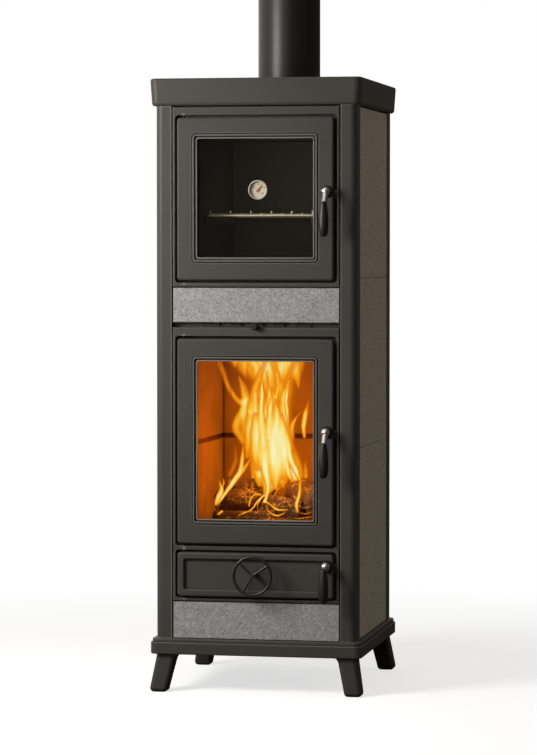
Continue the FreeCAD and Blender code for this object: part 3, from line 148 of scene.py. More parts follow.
def remap(tree: Tree, value: Socket, low: float, high: float, to_low: float = 0.0,
          to_high: float = 1.0, easing: Easing = Easing.STRAIGHT) -> Socket:
    """Carry a value from low..high to to_low..to_high and hold it there."""
    return add_node(tree, "MapRange", {
        "interpolation_type": easing.value, "Value": value, "From Min": low, "From Max": high,
        "To Min": to_low, "To Max": to_high}).outputs[0]


def blend(tree: Tree, share: Socket, first: Socket | Colour | str,
          second: Socket | Colour | str) -> Socket:
    """Colour that goes from the first to the second as the share goes from 0 to 1."""
    first, second = (linear(end) if isinstance(end, str) else end for end in (first, second))
    return add_node(tree, "Mix", {"data_type": "RGBA", 0: share, 6: first,
                                  7: second}).outputs[2]


def ramp(tree: Tree, value: Socket, stops: Sequence[tuple[float, str]]) -> Socket:
    """Colour read off a ramp.

    Args:
        tree: Tree of the material.
        value: Where the ramp is read.
        stops: Places from 0 to 1 in rising order, each with its shade.

    Returns:
        The socket of the colour.
    """
    node = add_node(tree, "ValToRGB", {"Fac": value})
    shades = node.color_ramp.elements
    for i, (spot, shade) in enumerate((stops[0], stops[-1])):
        shades[i].position, shades[i].color = spot, linear(shade)
    for spot, shade in stops[1:-1]:
        shades.new(spot).color = linear(shade)
    return node.outputs["Color"]


def openness(tree: Tree, reach_mm: float, shut: float, clear: float, least: float,
             most: float = 1.0, inside: bool = False) -> Socket:
    """Share that goes from least to most as the surroundings go from shut to clear.

    From outside, joints and corners are shut. From inside the metal, thin edges are clear.
    """
    nook = add_node(tree, "AmbientOcclusion", {"samples": 8, "Distance": reach_mm / 1000,
                                               "inside": inside, "only_local": inside})
    return remap(tree, nook.outputs["AO"], shut, clear, least, most)


def relief(tree: Tree, height: Socket, strength: float, depth_mm: float, sunk: bool = False) -> Socket:
    """Normal of a surface that a pattern raises or, where it is sunk, presses in."""
    return add_node(tree, "Bump", {"Strength": strength, "Distance": depth_mm / 1000,
                                   "invert": sunk, "Height": height}).outputs["Normal"]


def skin(tree: Tree, colour: Socket | Colour, roughness: Socket | float, normal: Socket,
         specular: float = 0.5, more: dict[str, Any] | None = None) -> Socket:
    """Opaque surface, with more inputs of its shader by name."""
    return add_node(tree, "BsdfPrincipled", {
        "Base Color": colour, "Roughness": roughness, "Normal": normal, "Specular IOR Level": specular,
        **(more or {})}).outputs[0]


def veiled(tree: Tree, share: Socket, first: Socket, second: Socket) -> Socket:
    """Shader that goes from the first to the second as the share goes from 0 to 1."""
    return add_node(tree, "MixShader", {0: share, 1: first, 2: second}).outputs[0]


def glowing(tree: Tree, colour: Socket | Colour, strength: float) -> Socket:
    """Shader of a surface that only gives light."""
    return add_node(tree, "Emission", {"Color": colour, "Strength": strength}).outputs[0]


@dataclass(frozen=True)
class Finish:
    """A surface as it was made. Each kind builds one material, once."""

    title: str

    def material(self) -> bpy.types.Material:
        """Material of this finish, built the first time.

        Returns:
            The one material that all pieces with this finish share.
        """
        found = bpy.data.materials.get(self.title)
        if found is None:
            found = bpy.data.materials.new(self.title)
            found.use_nodes = True
            found.node_tree.nodes.clear()
            shader = self.shade(found.node_tree)
            add_node(found.node_tree, "OutputMaterial", {"Surface": shader})
        return found

    def shade(self, tree: Tree) -> Socket:
        """Build the nodes.

        Args:
            tree: Empty tree of the material.

        Returns:
            The shader's socket.
        """
        raise NotImplementedError


@dataclass(frozen=True)
class PaintedMetal(Finish):
    """Iron or steel under matt stove paint: the grain of the casting shows through the film.

    Sand-cast iron has a grain of about 1 mm, rolled sheet one far finer. Both are drawn about
    twice as coarse, because a finer one falls between the pixels. The film is even, with slow
    changes of tone where it was sprayed in passes.
    """

    dark: str = "#4d4a45"
    light: str = "#58554f"
    roughness: float = 0.42
    specular: float = 0.22
    grain_mm: float = 2.6
    relief_mm: float = 0.03
    # painted highlight on thin edges: its colour and its share
    painted_highlight: str = "#b0ada6"
    highlight_share: float = 0.0
    edge_mm: float = 3.5
    joint_mm: float = 7.0
    passes: tuple[float, float, float] = (0.45, 0.45, 1.0)
    passes_per_m: float = 9.0
    gloss_swing: float = 0.06
    speck: float = 0.35

    def shade(self, tree: Tree) -> Socket:
        """Mix two tones by a slow drift, paint edge highlights and nook shade, lay the grain over it as
        bump.
        """
        where = place(tree)
        drift = noise(tree, place(tree, self.passes), self.passes_per_m, 4.0)
        grain = noise(tree, where, 1000.0 / self.grain_mm, 3.0)
        specks = calc(tree, "MULTIPLY_ADD", grain, self.speck, -self.speck / 2)
        tone = blend(tree, calc(tree, "ADD", drift, specks, clamp=True), self.dark, self.light)
        # painted highlight: a thin bright line on every thin edge; painted shade: near black in joints
        # and nooks
        highlight_mask = openness(tree, self.edge_mm, 0.85, 0.4, 0.0, self.highlight_share, inside=True)
        coat = self.coat(tree, where, blend(tree, highlight_mask, tone, self.painted_highlight))
        # painted shade from ambient occlusion, darkest in the tightest nooks
        nook_shaded = blend(tree, openness(tree, self.joint_mm, 0.15, 0.7, 0.1), PAINTED_SHADE_BLACK, coat)
        gloss = remap(tree, drift, 0.0, 1.0, self.roughness - self.gloss_swing,
                      self.roughness + self.gloss_swing)
        return skin(tree, nook_shaded, gloss, relief(tree, grain, 0.5, self.relief_mm), self.specular)

    def coat(self, tree: Tree, where: Socket, paint: Socket) -> Socket:
        """Second colour over the paint; plain pieces have none."""
        return paint


@dataclass(frozen=True)
class RosedDoor(PaintedMetal):
    """Painted door whose handle rose, which stands proud of its face, is enamelled black."""

    face_y: float = -0.2025
    proud: float = 0.0004
    black: str = "#161513"

    def coat(self, tree: Tree, where: Socket, paint: Socket) -> Socket:
        """Black on all that stands proud of the face."""
        raised = calc(tree, "LESS_THAN", along(tree, where, 1), self.face_y - self.proud)
        return blend(tree, raised, paint, self.black)


@dataclass(frozen=True)
class HonedSoapstone(Finish):
    """Sawn and honed soapstone: grey talc with pale and dark flecks, matt like fine skin.

    The flecks are 1 to 3 mm across; they are drawn at the coarse end of that, so that they show.
    """

    dark: str = "#8a8989"
    mid: str = "#b5b3b3"
    light: str = "#d8d6d6"
    seam: str = "#0c0b0a"
    fleck_mm: float = 3.4
    seam_mm: float = 4.0
    clouds_per_m: float = 60.0
    cloud_share: float = 0.14

    def shade(self, tree: Tree) -> Socket:
        """Ramp flecks and faint clouds into three greys, and use the flecks as bump."""
        where = place(tree)
        fleck = noise(tree, where, 1000.0 / self.fleck_mm, 2.0, 0.6, 1.2)
        cloud = noise(tree, where, self.clouds_per_m, 2.0)
        mixed = calc(tree, "MULTIPLY_ADD", cloud, self.cloud_share, fleck)
        greys = ramp(tree, mixed, ((0.38, self.dark), (0.57, self.mid), (0.78, self.light)))
        # painted shade: near black in the seams between the slabs and in other nooks, from ambient
        # occlusion
        tone = blend(tree, openness(tree, self.seam_mm, 0.3, 0.85, 0.06), self.seam, greys)
        return skin(tree, tone, 0.85, relief(tree, fleck, 0.4, 0.1), 0.1)


@dataclass(frozen=True)
class FireBrick(Finish):
    """Pressed vermiculite board: sandy, flaky and browned by soot, with the fire's light painted on as
    a glow.
    """

    clean: str = "#8f5023"
    sooty: str = "#5a2a10"
    # colour of the painted firelight, and its strength nearest and farthest from the fire
    emission: str = "#c8650f"
    nearest: float = 0.62
    farthest: float = 0.12
    fire: tuple[float, float, float] = (0.0, 0.0, 0.47)
    seam_z: float = 0.5
    seam_mm: float = 11.0
    corner_mm: float = 30.0
    patches_per_m: float = 14.0
    flakes_per_m: float = 230.0

    def shade(self, tree: Tree) -> Socket:
        """Brown the board by large patches and paint the fire's light on it as a glow, less with its
        distance from the fire.

        The painted glow is a product of four shares: distance, patch, a dimmer band at the seam and
        painted shade in the corners.
        """
        where = place(tree)
        patch = noise(tree, where, self.patches_per_m, 5.0)
        flake = noise(tree, where, self.flakes_per_m, 2.0)
        reach = add_node(tree, "VectorMath", {"operation": "DISTANCE", 0: where, 1: self.fire})
        seam = calc(tree, "COMPARE", along(tree, where, 2), self.seam_z, self.seam_mm / 2000)
        # painted light: the fire's glow on the board, weaker with distance
        emission = remap(tree, reach.outputs["Value"], 0.12, 0.34, self.nearest, self.farthest)
        # the painted glow is dimmed by the patches, along the seam, and in the corners as painted shade
        for share in (calc(tree, "MULTIPLY_ADD", patch, 0.8, 0.6),
                      calc(tree, "MULTIPLY_ADD", seam, -0.85, 1.0),
                      openness(tree, self.corner_mm, 0.3, 0.9, 0.25)):
            emission = calc(tree, "MULTIPLY", emission, share)
        tone = blend(tree, patch, self.sooty, self.clean)
        return skin(tree, tone, 0.9, relief(tree, flake, 0.4, 0.4), 0.15,
                    {"Emission Color": linear(self.emission), "Emission Strength": emission})


@dataclass(frozen=True)
class CeramicGlass(Finish):
    """Clear glass ceramic: a faint warm tint and a sharp reflection that grows at a low angle."""

    tint: str = "#faf8f3"
    index: float = 1.45
    shine: float = 0.1
    roughness: float = 0.03

    def shade(self, tree: Tree) -> Socket:
        """Mix clear and glossy shaders by a share of Fresnel."""
        edge = add_node(tree, "Fresnel", {"IOR": self.index}).outputs[0]
        clear = add_node(tree, "BsdfTransparent", {"Color": linear(self.tint)}).outputs[0]
        gloss = add_node(tree, "BsdfAnisotropic", {"Color": WHITE, "Roughness": self.roughness})
        return veiled(tree, calc(tree, "MULTIPLY", edge, self.shine), clear, gloss.outputs[0])


@dataclass(frozen=True)
class KnittedRope(Finish):
    """Knitted glass-fibre rope, graphited grey: the stitches show as small bumps of about 1.5 mm."""

    dark: str = "#1d1d1c"
    light: str = "#4a4947"
    stitches_per_m: float = 650.0

    def shade(self, tree: Tree) -> Socket:
        """Use Voronoi cells as stitches for tone and bump."""
        stitch = add_node(tree, "TexVoronoi", {
            "Scale": self.stitches_per_m, "Vector": place(tree)}).outputs["Distance"]
        return skin(tree, blend(tree, stitch, self.light, self.dark), 0.95,
                    relief(tree, stitch, 0.8, 0.6, sunk=True), 0.1)


@dataclass(frozen=True)
class BareMetal(Finish):
    """Metal with no paint: plated, turned or rolled, with fine lines from the tool along Z."""

    colour: str
    roughness: float
    line_mm: float = 0.4
    relief_mm: float = 0.004
    metallic: float = 1.0
    drawn: tuple[float, float, float] = (1.0, 1.0, 0.08)

    def shade(self, tree: Tree) -> Socket:
        """Vary roughness and bump with a noise drawn out along one axis."""
        lines = noise(tree, place(tree, self.drawn), 1000.0 / self.line_mm, 2.0)
        gloss = remap(tree, lines, 0.0, 1.0, self.roughness * 0.8, self.roughness * 1.25)
        return skin(tree, linear(self.colour), gloss, relief(tree, lines, 0.3, self.relief_mm),
                    more={"Metallic": self.metallic})


@dataclass(frozen=True)
class Flame(Finish):
    """Burning wood gas: clear at its edge, orange in its sheet and nearly white where it is hottest.

    The attribute "burning" (0 to 1) says how hot the sheet burns at each vertex. Rising streaks are
    drawn ten times as long as they are wide.
    """

    streak_mm: float
    flicker: float
    dense: float = 0.96
    brightness: float = 1.03
    rising: tuple[float, float, float] = (1.0, 1.0, 0.1)
    colours: tuple[tuple[float, str], ...] = ((0.05, "#c85a06"), (0.28, "#e87c08"), (0.5, "#f99c14"),
                                              (0.68, "#ffc23c"), (0.84, "#ffe67c"), (0.98, "#fffbc4"))

    def shade(self, tree: Tree) -> Socket:
        """Stir the heat with rising streaks, colour it by a ramp and let it cover as it grows."""
        heat = add_node(tree, "Attribute", {"attribute_name": "burning"}).outputs["Fac"]
        streak = noise(tree, place(tree, self.rising), 1000.0 / self.streak_mm, 1.0, distortion=0.5)
        gain = remap(tree, streak, 0.3, 0.7, 1.0 - 2.0 * self.flicker, 1.0 + self.flicker)
        warm = calc(tree, "MULTIPLY", heat, gain, clamp=True)
        clear = add_node(tree, "BsdfTransparent").outputs[0]
        return veiled(tree, remap(tree, warm, 0.01, 0.5, 0.0, self.dense, Easing.SOFT), clear,
                      glowing(tree, ramp(tree, warm, self.colours), self.brightness))


@dataclass(frozen=True)
class Char(Finish):
    """Burnt wood: brown to black, split along its grain, with fine glowing lines in the splits."""

    emission: str = "#ff9a2c"
    glow_strength: float = 0.9
    share: float = 0.5
    split_mm: float = 13.0
    burnt: str = "#382416"
    ash: str = "#967250"
    bend: tuple[float, float, float] = (0.035, 0.035, 0.035)
    bends_per_m: float = 45.0
    embers_per_m: float = 30.0
    ash_per_m: float = 120.0

    def shade(self, tree: Tree) -> Socket:
        """Open glowing lines between bent Voronoi cells where a slow noise says that it still burns."""
        where = place(tree)
        swirl = noise(tree, where, self.bends_per_m, 2.0, output="Color")
        bent = add_node(tree, "VectorMath", {
            "operation": "MULTIPLY_ADD", 0: swirl, 1: self.bend, 2: where}).outputs[0]
        cells = add_node(tree, "TexVoronoi", {
            "feature": "DISTANCE_TO_EDGE", "Scale": 1000.0 / self.split_mm,
            "Vector": bent}).outputs["Distance"]
        crack = remap(tree, cells, 0.10, 0.015, easing=Easing.SOFT)
        alive = remap(tree, noise(tree, where, self.embers_per_m, 3.0), self.share, self.share + 0.16)
        emission = calc(tree, "MULTIPLY", calc(tree, "MULTIPLY", crack, alive), self.glow_strength)
        tone = blend(tree, noise(tree, where, self.ash_per_m, 4.0), self.burnt, self.ash)
        return skin(tree, tone, 0.85, relief(tree, cells, 0.9, 2.0), 0.2,
                    {"Emission Color": linear(self.emission), "Emission Strength": emission})


@dataclass(frozen=True)
class Printed(Finish):
    """Screen-printed enamel: one even colour with the faintest orange peel."""

    colour: str
    roughness: float = 0.45
    worn: float = -0.02
    peel_per_m: float = 1800.0

    def shade(self, tree: Tree) -> Socket:
        """Lay a faint noise over the colour and the surface."""
        colour = linear(self.colour)
        peel = noise(tree, place(tree), self.peel_per_m, 2.0)
        worn = add_node(tree, "BrightContrast", {"Bright": self.worn, "Color": colour})
        tone = blend(tree, peel, colour, worn.outputs[0])
        return skin(tree, tone, self.roughness, relief(tree, peel, 0.1, 0.05))


CAST_IRON = PaintedMetal("cast_iron_matt_stove_paint", highlight_share=0.8)
DOOR_IRON = RosedDoor("cast_iron_matt_stove_paint_door", highlight_share=0.8)
# the same stove paint, drawn darker on the legs: painted shade under the base
LEG_IRON_PAINTED_SHADE = PaintedMetal("cast_iron_matt_leg_paint_painted_shade", "#3f3c38", "#494641", highlight_share=0.5)
FIRED_IRON = PaintedMetal("cast_iron_fired_bare", "#1c1a18", "#37302b", 0.7, 0.2, 2.6, 0.1)
SHEET_PAINTED = PaintedMetal("sheet_steel_matt_stove_paint", "#393835", "#42413d", 0.5, 0.2, 1.5, 0.005)
OVEN_ENAMEL = PaintedMetal("sheet_steel_black_enamel", "#454337", "#545143", 0.55, 0.12, 4.0, 0.002)
WHEEL_BLACK = PaintedMetal("cast_iron_satin_black", "#1b1a18", "#252422", 0.34, 0.45, 2.6, 0.02,
                           highlight_share=0.15)
FLUE_PAINT = PaintedMetal("flue_steel_satin_stove_paint", "#201e1b", "#292723", 0.36, 0.42, 2.5, 0.006)
PHENOLIC = PaintedMetal("phenolic_moulded_black", "#22211f", "#2a2826", 0.36, 0.4, 2.0, 0.004)
SOAPSTONE = HonedSoapstone("soapstone_honed")
# side slabs: the stone with a browner hue, and drawn lighter than the front stone as painted light for
# the weaker light on that side
SIDE_SOAPSTONE_PAINTED_LIGHT = HonedSoapstone("soapstone_honed_brown_painted_light", "#857e73", "#c4bbad", "#e0d8ca")
VERMICULITE = FireBrick("vermiculite_pressed")
GLASS = CeramicGlass("glass_ceramic_clear")
ROPE = KnittedRope("glass_fibre_rope_graphited")
CHROME = BareMetal("steel_chrome_plated", "#e4e2de", 0.27)
NICKEL = BareMetal("steel_nickel_satin", "#cfc6bc", 0.5, 0.4, 0.004, 0.6)
STEEL = BareMetal("steel_turned", "#8b8985", 0.32, 0.8, 0.004)
BLACKED = BareMetal("steel_blackened", "#26241f", 0.45, 0.8, 0.004)
ROLLED = BareMetal("steel_rolled_sheet", "#5c5954", 0.42, 2.0, 0.004)
WIRE = BareMetal("steel_wire_zinc_plated", "#e6dfcd", 0.45, 0.8, 0.004, 0.5)
BRASS = BareMetal("brass_lacquered", "#a8763c", 0.4)
DIAL = Printed("dial_enamel_cream", "#fbf6f0")
INK = Printed("dial_ink_brown", "#5a4a3e", 0.6)
FLAME_BACK = Flame("wood_gas_flame_orange", 16.0, 0.16, 0.94)
FLAME_MIDDLE = Flame("wood_gas_flame_yellow", 12.0, 0.12, 0.94)
FLAME_FRONT = Flame("wood_gas_flame_bright", 9.0, 0.06)
CHAR = Char("wood_charred")
EMBER = Char("wood_embers", "#ff8a20", 1.1, 0.46, 12.0)

NODE_FINISHES: dict[Finish, tuple[str, ...]] = {
    CAST_IRON: ("base_plate", "top_plate", "post_front_left", "post_front_right", "post_rear_left",
                "post_rear_right", "oven_front_frame", "fire_front_frame", "oven_window_bead",
                "fire_window_bead", "flue_collar"),
    DOOR_IRON: ("oven_door", "fire_door", "ash_door"),
    WHEEL_BLACK: ("air_wheel",),
    LEG_IRON_PAINTED_SHADE: ("leg_front_left", "leg_front_right", "leg_rear_left", "leg_rear_right"),
    FIRED_IRON: ("hearth_plate", "fire_grate"),
    SOAPSTONE: ("front_stone_upper", "front_stone_lower"),
    SIDE_SOAPSTONE_PAINTED_LIGHT: ("side_stones_left", "side_stones_right"),
    VERMICULITE: ("lining_left", "lining_right", "lining_back", "baffle_plate"),
    SHEET_PAINTED: ("back_panel", "secondary_air_slide"),
    ROLLED: ("firebox_shell", "smoke_jacket", "ash_pan", "ash_door_liner", "air_register_disc",
             "oven_glass_clips", "fire_glass_clips"),
    OVEN_ENAMEL: ("oven_muffle", "rack_runners"),
    FLUE_PAINT: ("flue_pipe",),
    GLASS: ("oven_door_glass", "fire_door_glass", "thermometer_lens"),
    ROPE: ("oven_door_rope", "fire_door_rope", "ash_door_rope"),
    CHROME: ("oven_latch_spindle", "fire_latch_spindle", "ash_latch_spindle"),
    NICKEL: ("thermometer_case",),
    STEEL: ("tie_rods",),
    BLACKED: ("hinge_pins",),
    WIRE: ("oven_rack",),
    PHENOLIC: ("oven_handle_grip", "fire_handle_grip", "ash_handle_grip", "secondary_air_knob"),
    DIAL: ("thermometer_dial",),
    BRASS: ("thermometer_needle",),
}


# ---- Surfaces ---------------------------------------------------------------------------
def grid_faces(rows: int, cols: int, closed: bool = False) -> np.ndarray:
    """Quads that join a grid of points, row after row.

    Args:
        rows: Number of rows.
        cols: Points in a row.
        closed: Whether the last point of a row joins the first.

    Returns:
        One row of four vertex numbers for each quad.
    """
    here = np.arange(rows * cols).reshape(rows, cols)
    right = np.roll(here, -1, axis=1)
    if not closed:
        here, right = here[:, :-1], right[:, :-1]
    return np.stack([here[:-1], right[:-1], right[1:], here[1:]], axis=-1).reshape(-1, 4)


def mesh_piece(name: str, points: np.ndarray, faces: Sequence[Sequence[int]], finish: Finish,
               body: Body, heat: np.ndarray | None = None,
               smooth: bool = True) -> None:
    """Make one piece from points and faces, dress it and let it ride.

    Args:
        name: Name of the piece.
        points: Vertices, one row each.
        faces: Vertex numbers of each face.
        finish: Its surface.
        body: Body that it rides on.
        heat: How hot each vertex burns, for a finish that glows by it.
        smooth: Whether it is shaded smooth.
    """
    mesh = bpy.data.meshes.new(name)
    mesh.from_pydata(points.reshape(-1, 3).tolist(), [], [list(map(int, f)) for f in faces])
    mesh.update()
    mesh.polygons.foreach_set("use_smooth", np.full(len(mesh.polygons), smooth))
    if heat is not None:
        layer = mesh.attributes.new("burning", "FLOAT", "POINT")
        layer.data.foreach_set("value", heat.astype(np.float32).ravel())
    piece = add_object(name, mesh)
    mesh.materials.append(finish.material())
    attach(piece, body.value)
    log.info("%s: %d faces, rides on %s", name, len(mesh.polygons), body.value)


def wavy(points: np.ndarray, seed: int, waves: int = 5) -> np.ndarray:
    """Smooth random field: a sum of sine waves in random directions, between about -1 and 1.

    Args:
        points: Places to read it at, in wavelengths.
        seed: Seed of the directions and phases.
        waves: Number of waves.

    Returns:
        One value for each place.
    """
    rng = np.random.default_rng(seed)
    directions = rng.normal(size=(waves, points.shape[-1]))
    phases = rng.uniform(0, 2 * math.pi, waves)
    return np.sin(points @ directions.T * 2 + phases).sum(axis=-1) / waves


# ---- Casing -----------------------------------------------------------------------------
@dataclass
class Casing:
    """Outer shell: finishes of all carried-over nodes and the screws of the back."""

    screw_radius: float = 0.0042
    screw_height: float = 0.0022
    screw_grid: tuple[int, int] = (9, 24)
    slot_width: float = 0.12
    slot_depth: float = 0.45
    slot_reach: float = 0.9
    edge_inset: float = 0.012
    end_inset: float = 0.03
    turn_step: float = 0.7
    rows: int = 5

    def dress_nodes(self) -> None:
        """Give every CAD node the finish of its material."""
        for finish, names in NODE_FINISHES.items():
            for name in names:
                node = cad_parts[name]
                node.material_slots[0].material = finish.material()
            log.info("%s on %d nodes", finish.title, len(names))

    def screw(self, centre: Vector, turn: float) -> tuple[np.ndarray, np.ndarray]:
        """Slotted pan head facing +Y: height over a polar grid, less a slot across the middle.

        Args:
            centre: Middle of its seat.
            turn: Angle of the slot, in radians.

        Returns:
            Points and faces.
        """
        spans, turns = self.screw_grid
        reach = np.linspace(1.0, 0.0, spans)[:, None] * np.ones(turns)
        angle = np.linspace(0, 2 * math.pi, turns, endpoint=False)[None, :] * np.ones((spans, 1))
        x, z = self.screw_radius * reach * np.cos(angle), self.screw_radius * reach * np.sin(angle)
        rise = self.screw_height * np.sqrt(np.clip(1 - reach ** 4, 0, 1))
        slot = np.abs(x * math.sin(turn) - z * math.cos(turn)) < self.slot_width * self.screw_radius
        sunk = rise - self.slot_depth * self.screw_height
        rise = np.where(slot & (reach < self.slot_reach), sunk, rise)
        points = np.stack([x + centre.x, rise + centre.y, z + centre.z], axis=-1)
        return points.reshape(-1, 3), grid_faces(spans, turns, closed=True)

    def screws(self) -> None:
        """Screws round the edge of the back panel, a row up each side and one along each end."""
        low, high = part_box("back_panel")
        heights = np.linspace(low.z + self.end_inset, high.z - self.end_inset, self.rows)
        spots = [(side.value * (high.x - self.edge_inset), z) for side in Side for z in heights]
        spots += [(0.0, low.z + self.edge_inset), (0.0, high.z - self.edge_inset)]
        points, faces, count = [], [], 0
        for i, (x, z) in enumerate(spots):
            head, quads = self.screw(Vector((x, high.y, z)), self.turn_step * i)
            points.append(head)
            faces.append(quads + count)
            count += len(head)
        mesh_piece("back_panel_screws", np.concatenate(points), np.concatenate(faces), STEEL,
                   Body.STOVE)

    def build(self) -> None:
        """Dress the nodes and add the screws."""
        self.dress_nodes()
        self.screws()


# ---- Fire -------------------------------------------------------------------------------
@dataclass
class Log:
    """One charred log: its axis, girth and the seed of its bark."""

    name: str
    start: tuple[float, float, float]
    end: tuple[float, float, float]
    radius: float
    seed: int
    rings: int = 60
    sides: int = 48
    knots: float = 0.10
    bark: float = 0.035
    bend: float = 0.2
    cap: float = 0.05

    def build(self) -> None:
        """Sweep a ring along a slightly bent axis.

        The radius is 1 + knots * slow waves + bark * fine waves, and shrinks to nothing at both ends.
        """
        t = np.linspace(0, 1, self.rings)[:, None]
        angle = np.linspace(0, 2 * math.pi, self.sides, endpoint=False)[None, :]
        start, end = np.array(self.start), np.array(self.end)
        along = (end - start) / np.linalg.norm(end - start)
        side = np.cross(along, (0.0, 0.0, 1.0))
        side /= np.linalg.norm(side)
        up = np.cross(side, along)
        ring = np.stack([np.cos(angle) * np.ones_like(t), np.sin(angle) * np.ones_like(t),
                         3.5 * t * np.ones_like(angle)], axis=-1)
        rough = (1 + self.knots * wavy(ring * 1.3, self.seed)
                 + self.bark * wavy(ring * (9, 9, 5), self.seed + 1, 9))
        cap = np.clip(np.minimum(t, 1 - t) / self.cap, 0, 1) ** 0.4
        radius = self.radius * rough * cap
        bend = self.bend * self.radius * np.sin(math.pi * t + self.seed)
        middle = start + (end - start) * t + up * bend
        points = (middle[:, None, :] + side * (radius * np.cos(angle))[..., None]
                  + up * (radius * np.sin(angle))[..., None])
        faces = grid_faces(self.rings, self.sides, closed=True)
        mesh_piece(self.name, points, faces, CHAR, Body.STOVE)


# One tongue of flame: places along its spine as x, z and half width in mm, and its heat in percent.
Spine = tuple[tuple[float, float, float, float], ...]


@dataclass(frozen=True)
class FlameSheet:
    """Sheet of burning gas across the chamber, made of tongues that melt into one another."""

    name: str
    finish: Flame
    depth: float
    tongues: tuple[Spine, ...]
    crisp: float = 1.25
    swing: float = 0.03
    plane: float = -0.02
    slant: float = 0.176
    cell_mm: float = 1.5
    half_mm: float = 126.0
    levels_mm: tuple[float, float] = (345.0, 684.0)
    chamber_half: float = 0.1275
    steps: int = 14
    thinnest_mm: float = 0.6
    hottest: float = 0.98
    coolest: float = 0.02

    def spine(self, tongue: Spine) -> np.ndarray:
        """Even steps of a smooth curve (Catmull-Rom) through the places of a tongue.

        Args:
            tongue: Its places, from one end to the other.

        Returns:
            Rows of x, z, half width and heat from 0 to 1.
        """
        knots = np.array([tongue[0], *tongue, tongue[-1]]) / (1, 1, 1, 100)
        t = np.linspace(0, len(tongue) - 1, self.steps * len(tongue))
        k = np.minimum(t.astype(int), len(tongue) - 2)
        f = (t - k)[:, None]
        a, b, c, d = (knots[k + i] for i in range(4))
        curve = 0.5 * (2 * b + (c - a) * f + (2 * a - 5 * b + 4 * c - d) * f ** 2
                       + (3 * b - a - 3 * c + d) * f ** 3)
        return np.maximum(curve, (-math.inf, 0, self.thinnest_mm, 0))

    def heat(self, x: np.ndarray, z: np.ndarray) -> np.ndarray:
        """Heat at places in mm: each tongue falls off as 1 - (distance / half width) squared.

        Tongues add up as veils do: what is left of 1 is shared out by each in turn. The places
        are first swayed by slow waves, so that no edge is drawn straight.

        Args:
            x: Places across.
            z: Places up.

        Returns:
            Heat from 0 to 1 at each.
        """
        far = np.stack([x / 26, z / 34], axis=-1)
        x = x + 1.6 * wavy(far, 41) + 0.7 * wavy(far * 2.7, 42)
        z = z + 3.0 * wavy(far, 43)
        left = np.ones_like(x)
        for tongue in self.tongues:
            best = np.zeros_like(x)
            for cx, cz, half, hot in self.spine(tongue):
                near = 1 - ((x - cx) ** 2 + (z - cz) ** 2) / half ** 2
                np.maximum(best, hot * np.clip(near, 0, 1) ** self.crisp, out=best)
            left *= 1 - np.minimum(best, self.hottest)
        return 1 - left

    def build(self) -> None:
        """Keep the cells of a fine grid that burn, and curve them gently front to back."""
        across = np.arange(-self.half_mm, self.half_mm + 0.1, self.cell_mm)
        up = np.arange(*self.levels_mm, self.cell_mm)
        x, z = np.meshgrid(across, up)
        heat = self.heat(x, z)
        y = self.depth + self.swing * wavy(np.stack([x / 60, z / 90], axis=-1), 44)
        shift = -self.slant * (y - self.plane)
        x = np.clip(x / 1000 + shift, -self.chamber_half, self.chamber_half)
        points = np.stack([x, y, z / 1000], axis=-1).reshape(-1, 3)
        quads = grid_faces(len(up), len(across))
        quads = quads[heat.ravel()[quads].max(axis=1) > self.coolest]
        used, numbers = np.unique(quads, return_inverse=True)
        mesh_piece(self.name, points[used], numbers.reshape(-1, 4), self.finish, Body.STOVE,
                   heat=heat.ravel()[used])


